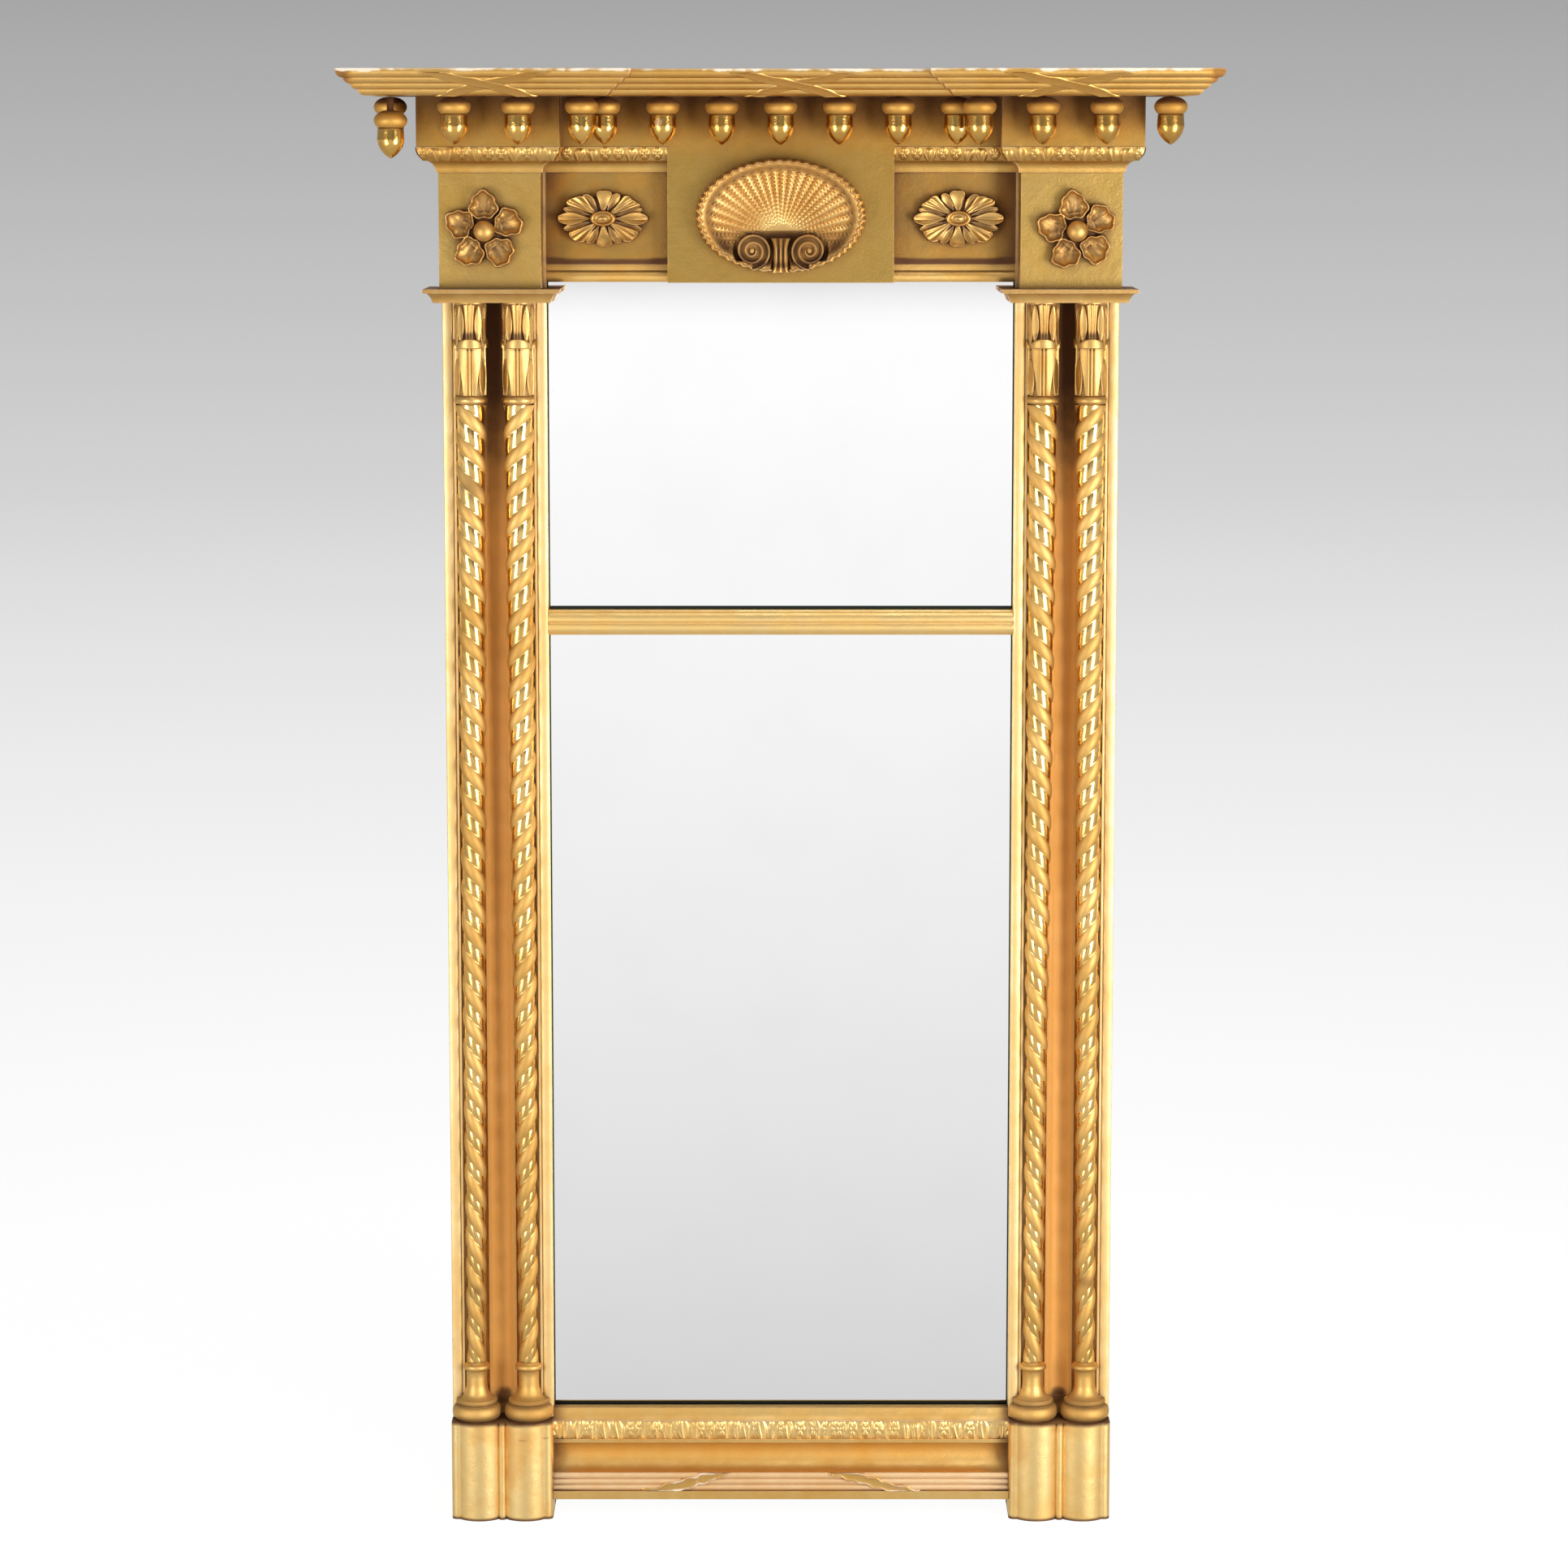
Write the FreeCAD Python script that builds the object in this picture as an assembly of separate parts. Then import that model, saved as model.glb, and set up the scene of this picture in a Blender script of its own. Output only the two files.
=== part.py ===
import FreeCAD, Part
import math
import os

# A giltwood pier mirror in two plates: paired rope-twist columns on plinth blocks carry
# a frieze that breaks forward over them, with a shell tablet, flowers and a cornice hung
# with acorns. Millimetres, +Z up, the front faces -Y, and the origin lies on the floor
# under the middle of the whole outline. Depths are counted forward from the wall.

os.makedirs("parts", exist_ok=True)
Vector = FreeCAD.Vector

# Heights of the storeys, from the floor up
plinth_height = 71.0
column_height = 801.0
abacus_height = 9.5
block_height = 80.0
bed_height = 17.9
upper_frieze_height = 34.4
cornice_height = 18.2

# Depths of the storeys
board = 22.0
panel_thickness = 8.0
breakout = 28.0
bed_projection = 14.0
soffit_overhang = 32.0
cornice_flare = 18.5

# Stile widths, from the sight edge to the middle of the stile
sight_width = 328.0
bead_width = 5.0
groove_width = 1.8
edge_fillet_width = 2.0
channel_width = 17.5
centre_fillet_width = 3.0
centre_width = 14.0
bead_rise = 10.0
fillet_rise = 3.0
groove_rise = 1.5
centre_hollow_share = 0.3

# Plates, rebates and backboards
rebate_width = 5.5
rebate_depth = 20.0
plate_thickness = 3.0
plate_play = 0.5
backboard_thickness = 6.0
glue_block_length = 40.0
glue_block_width = 14.0
glue_block_depth = 8.0
glue_block_end = 60.0
upper_block_count = 2
lower_block_count = 4

# Base rail between the plinths
base_lift = 13.9
base_height = 63.1
base_projection = 26.0
base_fillet_height = 6.0
reed_height = 4.4
reed_rise = 2.2
reed_count = 3
reed_back = 3.0
cove_height = 19.6
cove_back = 14.0
cove_hollow_share = 0.24
band_fillet_height = 2.7
band_fillet_rise = 3.0
band_height = 13.1
band_thickness = 2.0
sight_cove_back = 5.0

# Divider between the plates
divider_middle = 646.3
divider_height = 17.5
divider_rise = 10.0
divider_edge = 4.0
divider_groove_width = 2.0
divider_groove_depth = 0.8
tongue_height = 5.5

# Plinth blocks
plinth_corner_width = 4.2
plinth_corner_depth = 4.2
plinth_fillet_width = 2.0
plinth_lobe_rise = 7.0
plinth_lobe_share = 0.22
plinth_reed_width = 5.0
plinth_reed_rise = 2.5
plinth_reed_back = 5.0

# Columns
column_clearance = 0.7
foot_clearance = 0.6
foot_torus_height = 8.0
foot_ring_height = 5.0
foot_ring_radius = 14.4
foot_torus_rise = 2.2
foot_flare_height = 8.0
foot_flare_radius = 11.6
drum_radius = 8.0
drum_height = 15.0
drum_bead_height = 5.7
drum_bead_rise = 0.7
shaft_top_radius = 10.5
shaft_bottom_radius = 6.3
strand_repeat = 22.9
turning_sides = 12
swelling_flat_share = 0.3
rows_per_turn = 6
strand_radius_shares = (1.0, 1.0, 0.72)
strand_count = 2

# Capitals
astragal_height = 7.0
astragal_radius = 11.3
astragal_rise = 1.8
bell_height = 65.0
bell_bottom_radius = 8.4
bell_top_radius = 9.2
lower_leaf_height = 39.0
lower_leaf_width = 15.0
lower_leaf_radius = 9.8
upper_leaf_width = 12.0
upper_leaf_radius = 9.7
upper_leaf_lap = 6.0
leaf_curl_rise = 1.5
leaf_count = 4
leaf_level_shares = (0.0, 0.5, 0.8, 0.92, 1.0)
leaf_width_shares = (0.7, 1.0, 0.86, 0.7, 0.3)
leaf_curl_shares = (0.1, 0.3, 0.4, 1.0, 0.8)

# Abacus over each pair of columns
abacus_bottom_projection = 4.5
abacus_neck_projection = 8.5
abacus_projection = 11.0
abacus_fillet = 2.8

# Frieze
block_inset = 2.0
tablet_width = 157.4
tablet_lift = 3.9
architrave_height = 12.4
architrave_rise = 3.0
architrave_bead_height = 8.0
bed_cove_height = 8.5
bed_foot = 1.6
bed_band_projection = 9.5

# Cornice
cornice_seat = 12.0
cornice_lip = 2.4
cornice_reed_count = 4
cornice_reed_share = 0.18

# Acorns under the soffit
acorn_height = 33.4
acorn_cap_height = 13.2
acorn_cap_radius = 11.5
acorn_seat_radius = 6.0
acorn_shoulder_height = 2.4
acorn_shoulder_radius = 9.6
acorn_brow_height = 7.6
acorn_lip_radius = 10.6
acorn_body_radius = 9.3
acorn_waist_height = 22.5
acorn_waist_radius = 8.3
acorn_point_height = 30.4
acorn_point_radius = 2.6
acorn_sides = 10
front_acorn_count = 4
centre_acorn_count = 7
centre_acorn_end = 30.2
loose_acorn_drop = 9.4
return_acorn_shift = 3.6
peg_radius = 2.4
peg_depth = 8.0
peg_play = 0.15

# Shell on the tablet
shell_width = 117.0
shell_height = 79.0
shell_lift = 46.2
shell_rise = 14.0
shell_rib_count = 18
shell_ring_shares = (0.84, 0.97, 0.93, 0.62, 0.3)
shell_rise_shares = (0.0, 1.0, 1.0, 0.62, 0.3)
shell_ripple_shares = (0.02, 0.03, 0.01, -0.07, -0.1)
shell_hinge_lift = 23.0
volute_radius = 10.6
volute_spacing = 39.4
volute_thickness = 12.0
volute_band = 2.2
volute_gap = 1.3
volute_turns = 2
volute_steps_per_turn = 10
volute_floor = 7.5
stem_width = 12.4
stem_height = 23.0
stem_thickness = 13.5
stem_reed_share = 0.3
stem_reed_count = 3

# Oval paterae on the panels
patera_width = 63.0
patera_height = 39.5
patera_rise = 8.0
patera_plate = 2.5
patera_plate_share = 0.86
patera_petal_count = 8
patera_boss_width = 20.0
patera_boss_height = 9.5
patera_boss_dish = 2.0
patera_petal_thickness = 6.5
patera_shift = 2.6
oval_sides = 16
petal_length_shares = (0.2, 0.62, 1.0)
petal_width_shares = (0.2, 0.36, 0.0)
petal_ridge_shares = (0.7, 1.0, 0.0)

# Rosettes on the corner blocks
rosette_petal_count = 5
rosette_petal_radius = 9.8
rosette_petal_root = 7.5
rosette_petal_orbit = 16.2
rosette_petal_thickness = 7.5
rosette_cup_depth = 4.5
rosette_disc_radius = 11.0
rosette_disc_thickness = 4.5
rosette_ball_radius = 7.3
rosette_ball_lift = 7.0
ball_bands = 3
rosette_shift = 3.7
flower_sides = 10
left_rosette_turn = 91.0
right_rosette_turn = 99.0

# Keyhole hanger plates let into the backs of the stiles
hanger_lift = 48.0
hanger_width = 20.0
hanger_height = 52.0
hanger_thickness = 2.5
keyhole_radius = 5.0
keyhole_slot_width = 5.0
keyhole_slot_length = 18.0
pocket_depth = 12.0
pocket_margin = 2.0

overrun = 2.0
half_round_share = 0.5
torus_share = 0.27
quarter_round_share = 0.2071
soft_share = 0.1

# Levels
column_top = plinth_height + column_height
abacus_top = column_top + abacus_height
bed_bottom = abacus_top + block_height
upper_bottom = bed_bottom + bed_height
soffit = upper_bottom + upper_frieze_height
total_height = soffit + cornice_height
base_top = base_lift + base_height
tablet_bottom = abacus_top + tablet_lift
foot_top = plinth_height + foot_torus_height + foot_ring_height
shaft_bottom = foot_top + foot_flare_height + drum_height + drum_bead_height
capital_bottom = column_top - bell_height - astragal_height
shaft_length = capital_bottom - shaft_bottom

# Planes, counted forward from the wall
panel_face = board + panel_thickness
block_face = panel_face + breakout
upper_face = block_face + bed_projection
tablet_face = panel_face + bed_projection
bead_root = board + bead_rise - bead_width / 2
column_radius = max(lower_leaf_radius + leaf_curl_rise, upper_leaf_radius + leaf_curl_rise,
                    astragal_radius, shaft_top_radius)
column_axis = board + column_radius + column_clearance
depth = upper_face + soffit_overhang + cornice_flare
wall = depth / 2

# Lines across, on the right-hand side
sight_half = sight_width / 2
half_stile = (bead_width + groove_width + edge_fillet_width + channel_width
              + centre_fillet_width + centre_width / 2)
stile_middle = sight_half + half_stile
stile_outer = stile_middle + half_stile
column_offset = centre_width / 2 + centre_fillet_width + channel_width / 2
foot_radius = column_offset - foot_clearance
block_inner = sight_half + block_inset
upper_inner = block_inner - bed_projection
upper_outer = stile_outer + bed_projection
tablet_half = tablet_width / 2
plate_half = sight_half + rebate_width - plate_play
rail_top = base_top - rebate_width
top_rail_bottom = tablet_bottom + rebate_width
tongue_half = tongue_height / 2


def point(x, forward, z):
    """A point from its place across, its distance from the wall and its height."""
    return Vector(x, wall - forward, z)


def box(x_range, forward_range, z_range):
    """A board between two places across, two distances from the wall and two heights."""
    size = (x_range[1] - x_range[0], forward_range[1] - forward_range[0], z_range[1] - z_range[0])
    return Part.makeBox(*size, point(x_range[0], forward_range[1], z_range[0]))


def closed_wire(corners, place):
    """A closed wire through corners (u, v) or (u, v, bulge). A bulge is the share of the
    chord by which the stretch that ends at that corner swells to the left of its way."""
    edges = []
    for before, corner in zip(corners[-1:] + corners[:-1], corners):
        start = place(before[0], before[1])
        end = place(corner[0], corner[1])
        if len(corner) == 3:
            u = (before[0] + corner[0]) / 2 - corner[2] * (corner[1] - before[1])
            v = (before[1] + corner[1]) / 2 + corner[2] * (corner[0] - before[0])
            edges.append(Part.Arc(start, place(u, v), end).toShape())
        else:
            edges.append(Part.LineSegment(start, end).toShape())
    return Part.Wire(edges)


def upright(corners, z_range):
    """A plan outline of (x, forward) corners, raised between two heights."""
    face = Part.Face(closed_wire(corners, lambda x, forward: point(x, forward, z_range[0])))
    return face.extrude(Vector(0, 0, z_range[1] - z_range[0]))


def length_of(corners, x_range):
    """A moulding section of (forward, z) corners, run across between two places."""
    face = Part.Face(closed_wire(corners, lambda forward, z: point(x_range[0], forward, z)))
    return face.extrude(Vector(x_range[1] - x_range[0], 0, 0))


def relief(corners, forward_range):
    """A front outline of (x, z) corners, brought forward from one plane to another."""
    face = Part.Face(closed_wire(corners, lambda x, z: point(x, forward_range[0], z)))
    return face.extrude(Vector(0, forward_range[0] - forward_range[1], 0))


def faceted(rings, lean):
    """A solid skinned in flat facets from one ring of points to the next; a ring of one point
    is a tip. Lean is the way that the rings turn, or 0 where four-sided facets lie flat."""
    facets = [ring for ring in (rings[0], rings[-1]) if len(ring) > 1]
    for below, above in zip(rings[:-1], rings[1:]):
        sides = max(len(below), len(above))
        for side in range(sides):
            later = (side + 1) % sides
            if len(below) == 1:
                facets.append([below[0], above[later], above[side]])
            elif len(above) == 1:
                facets.append([below[side], below[later], above[0]])
            elif lean == 0:
                facets.append([below[side], below[later], above[later], above[side]])
            elif lean > 0:
                facets.append([below[side], below[later], above[side]])
                facets.append([below[later], above[later], above[side]])
            else:
                facets.append([below[side], below[later], above[later]])
                facets.append([below[side], above[later], above[side]])
    skin = Part.Shell([Part.Face(Part.makePolygon(facet + facet[:1])) for facet in facets])
    skin.sewShape()
    solid = Part.Solid(skin)
    if solid.Volume < 0:
        solid.reverse()
    return solid


def turned(corners, x, forward, sides):
    """A small turning about an upright axis, with flat sides, from (radius, z) corners."""
    rings = []
    for radius, z in corners:
        ring = []
        for side in range(sides if radius > 0 else 1):
            angle = 2 * math.pi * (side + 1 / 2) / sides
            ring.append(point(x + radius * math.cos(angle), forward + radius * math.sin(angle), z))
        rings.append(ring)
    return faceted(rings, 0)


def fronted(corners, x, z):
    """A small turning about an axis that points forward, from (radius, forward) corners."""
    rings = []
    for radius, forward in corners:
        ring = []
        for side in range(flower_sides if radius > 0 else 1):
            angle = 2 * math.pi * side / flower_sides
            ring.append(point(x + radius * math.cos(angle), forward, z + radius * math.sin(angle)))
        rings.append(ring)
    return faceted(rings, 0)


def swelling(root, rise, z_range):
    """The corners of a torus or bead that stands out from a root radius, in three flats."""
    bottom, top = z_range
    flat = (top - bottom) * swelling_flat_share
    return [(root, bottom), (root + rise, bottom + flat), (root + rise, top - flat), (root, top)]


def joined(solids):
    """Several touching or crossing solids as one."""
    if len(solids) == 1:
        return solids[0]
    return solids[0].multiFuse(solids[1:]).removeSplitter()


def mirrored(shape):
    """The same piece for the left-hand side."""
    return shape.mirror(Vector(0, 0, 0), Vector(1, 0, 0))


def mitred_lengths(path, section):
    """Lengths of moulding round a plan path of (x, forward) points, mitred where they meet.
    The section's corners are (out, z), with out counted to the left of the path."""
    outs = [corner[0] for corner in section]
    heights = [corner[1] for corner in section]
    low_out = min(outs) - overrun
    high_out = max(outs) + overrun
    ways = []
    for start, end in zip(path[:-1], path[1:]):
        span = math.hypot(end[0] - start[0], end[1] - start[1])
        ways.append(((end[0] - start[0]) / span, (end[1] - start[1]) / span, span))
    turns = [0]
    for first, second in zip(ways[:-1], ways[1:]):
        turns.append(round(first[0] * second[1] - first[1] * second[0]))
    turns.append(0)
    lengths = []
    for number, (along_x, along_forward, span) in enumerate(ways):
        start = path[number]
        opening = turns[number]
        closing = -turns[number + 1]

        def plan(along, out):
            x = start[0] + along * along_x - out * along_forward
            return x, start[1] + along * along_forward + out * along_x

        def place(out, z):
            return point(*plan(-extra, out), z)

        extra = max(-opening * low_out, -opening * high_out)
        reach = extra + span + max(closing * low_out, closing * high_out)
        run = Part.Face(closed_wire(section, place)).extrude(
            Vector(along_x * reach, -along_forward * reach, 0))
        corners = [plan(opening * low_out, low_out), plan(span + closing * low_out, low_out),
                   plan(span + closing * high_out, high_out), plan(opening * high_out, high_out)]
        cutter = upright(corners, (min(heights) - overrun, max(heights) + overrun))
        lengths.append(run.common(cutter).Solids[0])
    return lengths


def save(name, shape):
    """Writes one piece, or one group of like pieces, under its own name."""
    shape.exportStep("parts/" + name + ".step")


def save_pair(name, right):
    """Writes a right-hand piece and its mirror image."""
    save("right_" + name, right)
    save("left_" + name, mirrored(right))


def stile():
    """One upright: a board with a beaded, channelled front between foot and abacus, a
    rebate for the plates, an arris beside the frieze and a pocket for its hanger."""
    steps = ((bead_width, bead_root, (half_round_share,)),
             (groove_width, board + groove_rise, ()),
             (edge_fillet_width, board + fillet_rise, ()), (channel_width, board, ()),
             (centre_fillet_width, board + fillet_rise, ()),
             (centre_width, board + fillet_rise, (-centre_hollow_share,)))
    outline = [(sight_half, 0)]
    edge = sight_half
    for width, face, bulge in steps + steps[-2::-1]:
        if outline[-1][:2] != (edge, face):
            outline.append((edge, face))
        edge += width
        outline.append((edge, face) + bulge)
    outline.append((stile_outer, 0))
    moulded = upright(outline, (foot_top, column_top))
    width = (sight_half, stile_outer)
    foot = box(width, (0, board), (0, foot_top))
    head = box(width, (0, board), (column_top, soffit))
    arris = box((sight_half, block_inner), (board, panel_face), (abacus_top, upper_bottom))
    body = joined([moulded, foot, head, arris])
    rebate = box((sight_half - overrun, sight_half + rebate_width), (-overrun, rebate_depth),
                 (rail_top, top_rail_bottom))
    middle = abacus_top + hanger_lift
    half_width = hanger_width / 2
    half_height = hanger_height / 2
    bed = box((stile_middle - half_width, stile_middle + half_width),
              (-overrun, hanger_thickness), (middle - half_height, middle + half_height))
    pocket_half = keyhole_radius + pocket_margin
    pocket = box((stile_middle - pocket_half, stile_middle + pocket_half), (0, pocket_depth),
                 (middle - pocket_half, middle + keyhole_slot_length + pocket_margin))
    return body.cut(rebate).cut(bed).cut(pocket)


def hanger_plate():
    """A flat plate with a keyhole: a round hole that takes a screw's head, and a slot above."""
    middle = abacus_top + hanger_lift
    half_width = hanger_width / 2
    half_height = hanger_height / 2
    plate = box((stile_middle - half_width, stile_middle + half_width), (0, hanger_thickness),
                (middle - half_height, middle + half_height))
    half_slot = keyhole_slot_width / 2
    hole = Part.makeCylinder(keyhole_radius, hanger_thickness + 2 * overrun,
                             point(stile_middle, -overrun, middle), Vector(0, -1, 0))
    top = middle + keyhole_slot_length - half_slot
    slot = relief([(stile_middle - half_slot, middle), (stile_middle + half_slot, middle),
                   (stile_middle + half_slot, top),
                   (stile_middle - half_slot, top, -half_round_share)],
                  (-overrun, hanger_thickness + overrun))
    return plate.cut(hole).cut(slot)


def plinth():
    """A block under each pair of columns: two lobes with a reed between, and rounded corners."""
    shoulder = block_face - plinth_lobe_rise
    lobe_start = stile_outer - plinth_corner_width - plinth_fillet_width
    reed_half = plinth_reed_width / 2
    valley = block_face - plinth_reed_back
    right = [(stile_outer, board),
             (stile_outer, shoulder - plinth_corner_depth),
             (stile_outer - plinth_corner_width, shoulder, -quarter_round_share),
             (lobe_start, shoulder),
             (stile_middle + reed_half, valley - plinth_reed_rise, -plinth_lobe_share)]
    reed = (stile_middle - reed_half, valley - plinth_reed_rise, -half_round_share)
    left = [(2 * stile_middle - lobe_start, shoulder, -plinth_lobe_share),
            (sight_half + plinth_corner_width, shoulder),
            (sight_half, shoulder - plinth_corner_depth, -quarter_round_share),
            (sight_half, board)]
    return upright(right + [reed] + left, (0, plinth_height))


def foot(x):
    """A turned foot: torus, ring, flare, drum and bead, flat at the back against the stile."""
    levels = [plinth_height]
    for height in (foot_torus_height, foot_ring_height, foot_flare_height, drum_height,
                   drum_bead_height):
        levels.append(levels[-1] + height)
    corners = [(0, levels[0])]
    corners += swelling(foot_radius - foot_torus_rise, foot_torus_rise, levels[0:2])
    corners += swelling(foot_ring_radius - foot_torus_rise, foot_torus_rise, levels[1:3])
    corners += [(foot_flare_radius, levels[2]), (drum_radius, levels[3]), (drum_radius, levels[4])]
    corners += swelling(drum_radius, drum_bead_rise, levels[4:6])[1:]
    solid = turned(corners + [(0, levels[5])], x, column_axis, turning_sides)
    behind = box((x - foot_radius - overrun, x + foot_radius + overrun), (0, board),
                 (plinth_height, levels[5]))
    return solid.cut(behind)


def rope_shaft(x, hand):
    """A shaft of two strands twisted together, thinning towards the foot. Each strand is cut
    in flat facets that wind up the shaft; hand is 1 for strands that rise to the right."""
    turns = shaft_length / (strand_repeat * strand_count)
    rows = round(turns * rows_per_turn)
    sides = len(strand_radius_shares) * strand_count
    rings = []
    for row in range(rows + 1):
        share = row / rows
        radius = shaft_bottom_radius + share * (shaft_top_radius - shaft_bottom_radius)
        ring = []
        for side in range(sides):
            angle = 2 * math.pi * (side / sides + hand * share * turns)
            reach = radius * strand_radius_shares[side % len(strand_radius_shares)]
            ring.append(point(x + reach * math.cos(angle), column_axis - reach * math.sin(angle),
                              shaft_bottom + share * shaft_length))
        rings.append(ring)
    return faceted(rings, hand)


def leaf(x, turn, z_range, width, radius):
    """One leaf that stands against a bell: it widens, narrows and curls outward at its tip."""
    bottom, top = z_range
    out = Vector(math.cos(turn), math.sin(turn), 0)
    along = Vector(-math.sin(turn), math.cos(turn), 0)
    axis = point(x, column_axis, 0)
    rings = []
    for level, spread, curl in zip(leaf_level_shares, leaf_width_shares, leaf_curl_shares):
        middle = axis + Vector(0, 0, bottom + level * (top - bottom))
        half = along * (spread * width / 2)
        front = middle + out * (radius + curl * leaf_curl_rise)
        root = middle + out * (bell_bottom_radius / 2)
        rings.append([root - half, front - half, front + half, root + half])
    return faceted(rings, 0)


def capital(x):
    """A leafed capital: an astragal, a plain bell and two tiers of leaves."""
    bell_bottom = capital_bottom + astragal_height
    astragal = swelling(astragal_radius - astragal_rise, astragal_rise,
                        (capital_bottom, bell_bottom))
    bell = turned([(0, capital_bottom)] + astragal
                  + [(bell_bottom_radius, bell_bottom), (bell_top_radius, column_top),
                     (0, column_top)], x, column_axis, turning_sides)
    lower_top = bell_bottom + lower_leaf_height
    upper_bottom_level = lower_top - upper_leaf_lap
    pieces = [bell]
    for number in range(leaf_count):
        turn = 2 * math.pi * number / leaf_count
        pieces.append(leaf(x, turn, (bell_bottom, lower_top), lower_leaf_width,
                           lower_leaf_radius))
        pieces.append(leaf(x, turn, (upper_bottom_level, column_top), upper_leaf_width,
                           upper_leaf_radius))
    return joined(pieces)


def abacus():
    """The moulded slab on each pair of capitals, returned to the wall on its outer side."""
    neck = abacus_top - abacus_fillet
    section = [(0, column_top), (abacus_bottom_projection, column_top),
               (abacus_neck_projection, neck, soft_share), (abacus_projection, neck),
               (abacus_projection, abacus_top), (0, abacus_top)]
    path = [(sight_half, board), (sight_half, block_face), (stile_outer, block_face),
            (stile_outer, 0)]
    core = box((sight_half, stile_outer), (board, block_face), (column_top, abacus_top))
    return joined([core] + mitred_lengths(path, section))


def upper_block():
    """The plain block over a corner, in front of the stile and back to the wall beside it."""
    outline = [(upper_inner, board), (stile_outer, board), (stile_outer, 0), (upper_outer, 0),
               (upper_outer, upper_face), (upper_inner, upper_face)]
    return upright(outline, (upper_bottom, soffit))


def frieze_tablet():
    """The middle board: a square tablet below, and wider above, under the cornice."""
    outline = [(-tablet_half, tablet_bottom), (tablet_half, tablet_bottom),
               (tablet_half, upper_bottom), (upper_inner, upper_bottom), (upper_inner, soffit),
               (-upper_inner, soffit), (-upper_inner, upper_bottom), (-tablet_half, upper_bottom)]
    return relief(outline, (board, tablet_face))


def bed_section():
    """The moulding under the upper frieze: a cove, and a swelling band for leaves."""
    return [(0, bed_bottom), (bed_foot, bed_bottom),
            (bed_band_projection, bed_bottom + bed_cove_height, quarter_round_share),
            (bed_projection, upper_bottom, -soft_share), (0, upper_bottom)]


def cornice_section():
    """A raking bunch of reeds that flares out to a small square lip."""
    section = [(-cornice_seat, soffit), (0, soffit)]
    rake_height = cornice_height - cornice_lip
    for number in range(cornice_reed_count):
        share = (number + 1) / cornice_reed_count
        section.append((share * cornice_flare, soffit + share * rake_height, -cornice_reed_share))
    return section + [(cornice_flare, total_height), (-cornice_seat, total_height)]


def cornice_path():
    """The cornice's lower edge, from the wall on the left round to the wall on the right."""
    outer = upper_outer + soffit_overhang
    inner = upper_inner - soffit_overhang
    front = upper_face + soffit_overhang
    middle = tablet_face + soffit_overhang
    return [(-outer, 0), (-outer, front), (-inner, front), (-inner, middle), (inner, middle),
            (inner, front), (outer, front), (outer, 0)]


def cornice_board(peg_x, peg_forward):
    """The flat board inside the cornice lengths, with a hole for the peg of the loose acorn."""
    outer = upper_outer + soffit_overhang - cornice_seat
    inner = upper_inner - soffit_overhang + cornice_seat
    front = upper_face + soffit_overhang - cornice_seat
    middle = tablet_face + soffit_overhang - cornice_seat
    outline = [(-outer, 0), (-outer, front), (-inner, front), (-inner, middle), (inner, middle),
               (inner, front), (outer, front), (outer, 0)]
    hole = Part.makeCylinder(peg_radius + peg_play, peg_depth + peg_play,
                             point(peg_x, peg_forward, soffit))
    return upright(outline, (soffit, total_height)).cut(hole)


def acorn(x, forward, drop, peg):
    """A turned acorn hung under the soffit; one with a peg hangs by it, a little low."""
    top = soffit - drop
    corners = [(0, top - acorn_height), (acorn_point_radius, top - acorn_point_height),
               (acorn_waist_radius, top - acorn_waist_height),
               (acorn_body_radius, top - acorn_cap_height),
               (acorn_lip_radius, top - acorn_cap_height),
               (acorn_cap_radius, top - acorn_brow_height),
               (acorn_shoulder_radius, top - acorn_shoulder_height), (acorn_seat_radius, top)]
    if peg:
        corners += [(peg_radius, top), (peg_radius, soffit + peg_depth), (0, soffit + peg_depth)]
    else:
        corners += [(0, top)]
    return turned(corners, x, forward, acorn_sides)


def acorn_rows():
    """Places (x, forward) of the acorns: one outer corner, the rest of a corner, the middle."""
    outer = upper_outer + soffit_overhang / 2
    inner = upper_inner - soffit_overhang / 2
    front = upper_face + soffit_overhang / 2
    pitch = (outer - inner) / (front_acorn_count - 1)
    corner_row = [(outer - number * pitch, front) for number in range(front_acorn_count)]
    side = (outer + return_acorn_shift, front - pitch)
    middle = []
    half_row = upper_inner - centre_acorn_end
    for number in range(centre_acorn_count):
        place = half_row * (2 * number / (centre_acorn_count - 1) - 1)
        middle.append((place, tablet_face + soffit_overhang / 2))
    return corner_row[0], corner_row[1:] + [side], middle


def volute(x, z, side):
    """One scroll of the shell's hinge: a band wound inward at a steady rate on a low disc."""
    steps = volute_turns * volute_steps_per_turn
    outer = []
    inner = []
    for step in range(steps + 1):
        turn = step / volute_steps_per_turn
        angle = 2 * math.pi * turn + math.pi / 2
        radius = volute_radius - turn * (volute_band + volute_gap)
        for edge, reach in ((outer, radius), (inner, radius - volute_band)):
            edge.append((x - side * reach * math.cos(angle), z + reach * math.sin(angle)))
    band = relief(outer + inner[::-1], (tablet_face, tablet_face + volute_thickness))
    disc = fronted([(volute_radius - volute_band / 2, tablet_face),
                    (volute_radius - volute_band / 2, tablet_face + volute_floor)], x, z)
    return joined([disc, band])


def shell_ring(hinge, middle, share, forward, ripple):
    """One closed scalloped outline of the shell: the rim drawn in towards the hinge to a
    share of its size. A positive ripple stands out on the ribs, a negative one between."""
    sides = 2 * shell_rib_count
    corners = []
    for side in range(sides):
        angle = 2 * math.pi * side / sides
        wave = share * (1 + (ripple if side % 2 == 0 else -ripple))
        across = math.sin(angle) * shell_width / 2
        up = middle - math.cos(angle) * shell_height / 2 - hinge
        corners.append(point(wave * across, forward, hinge + wave * up))
    return corners


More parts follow.
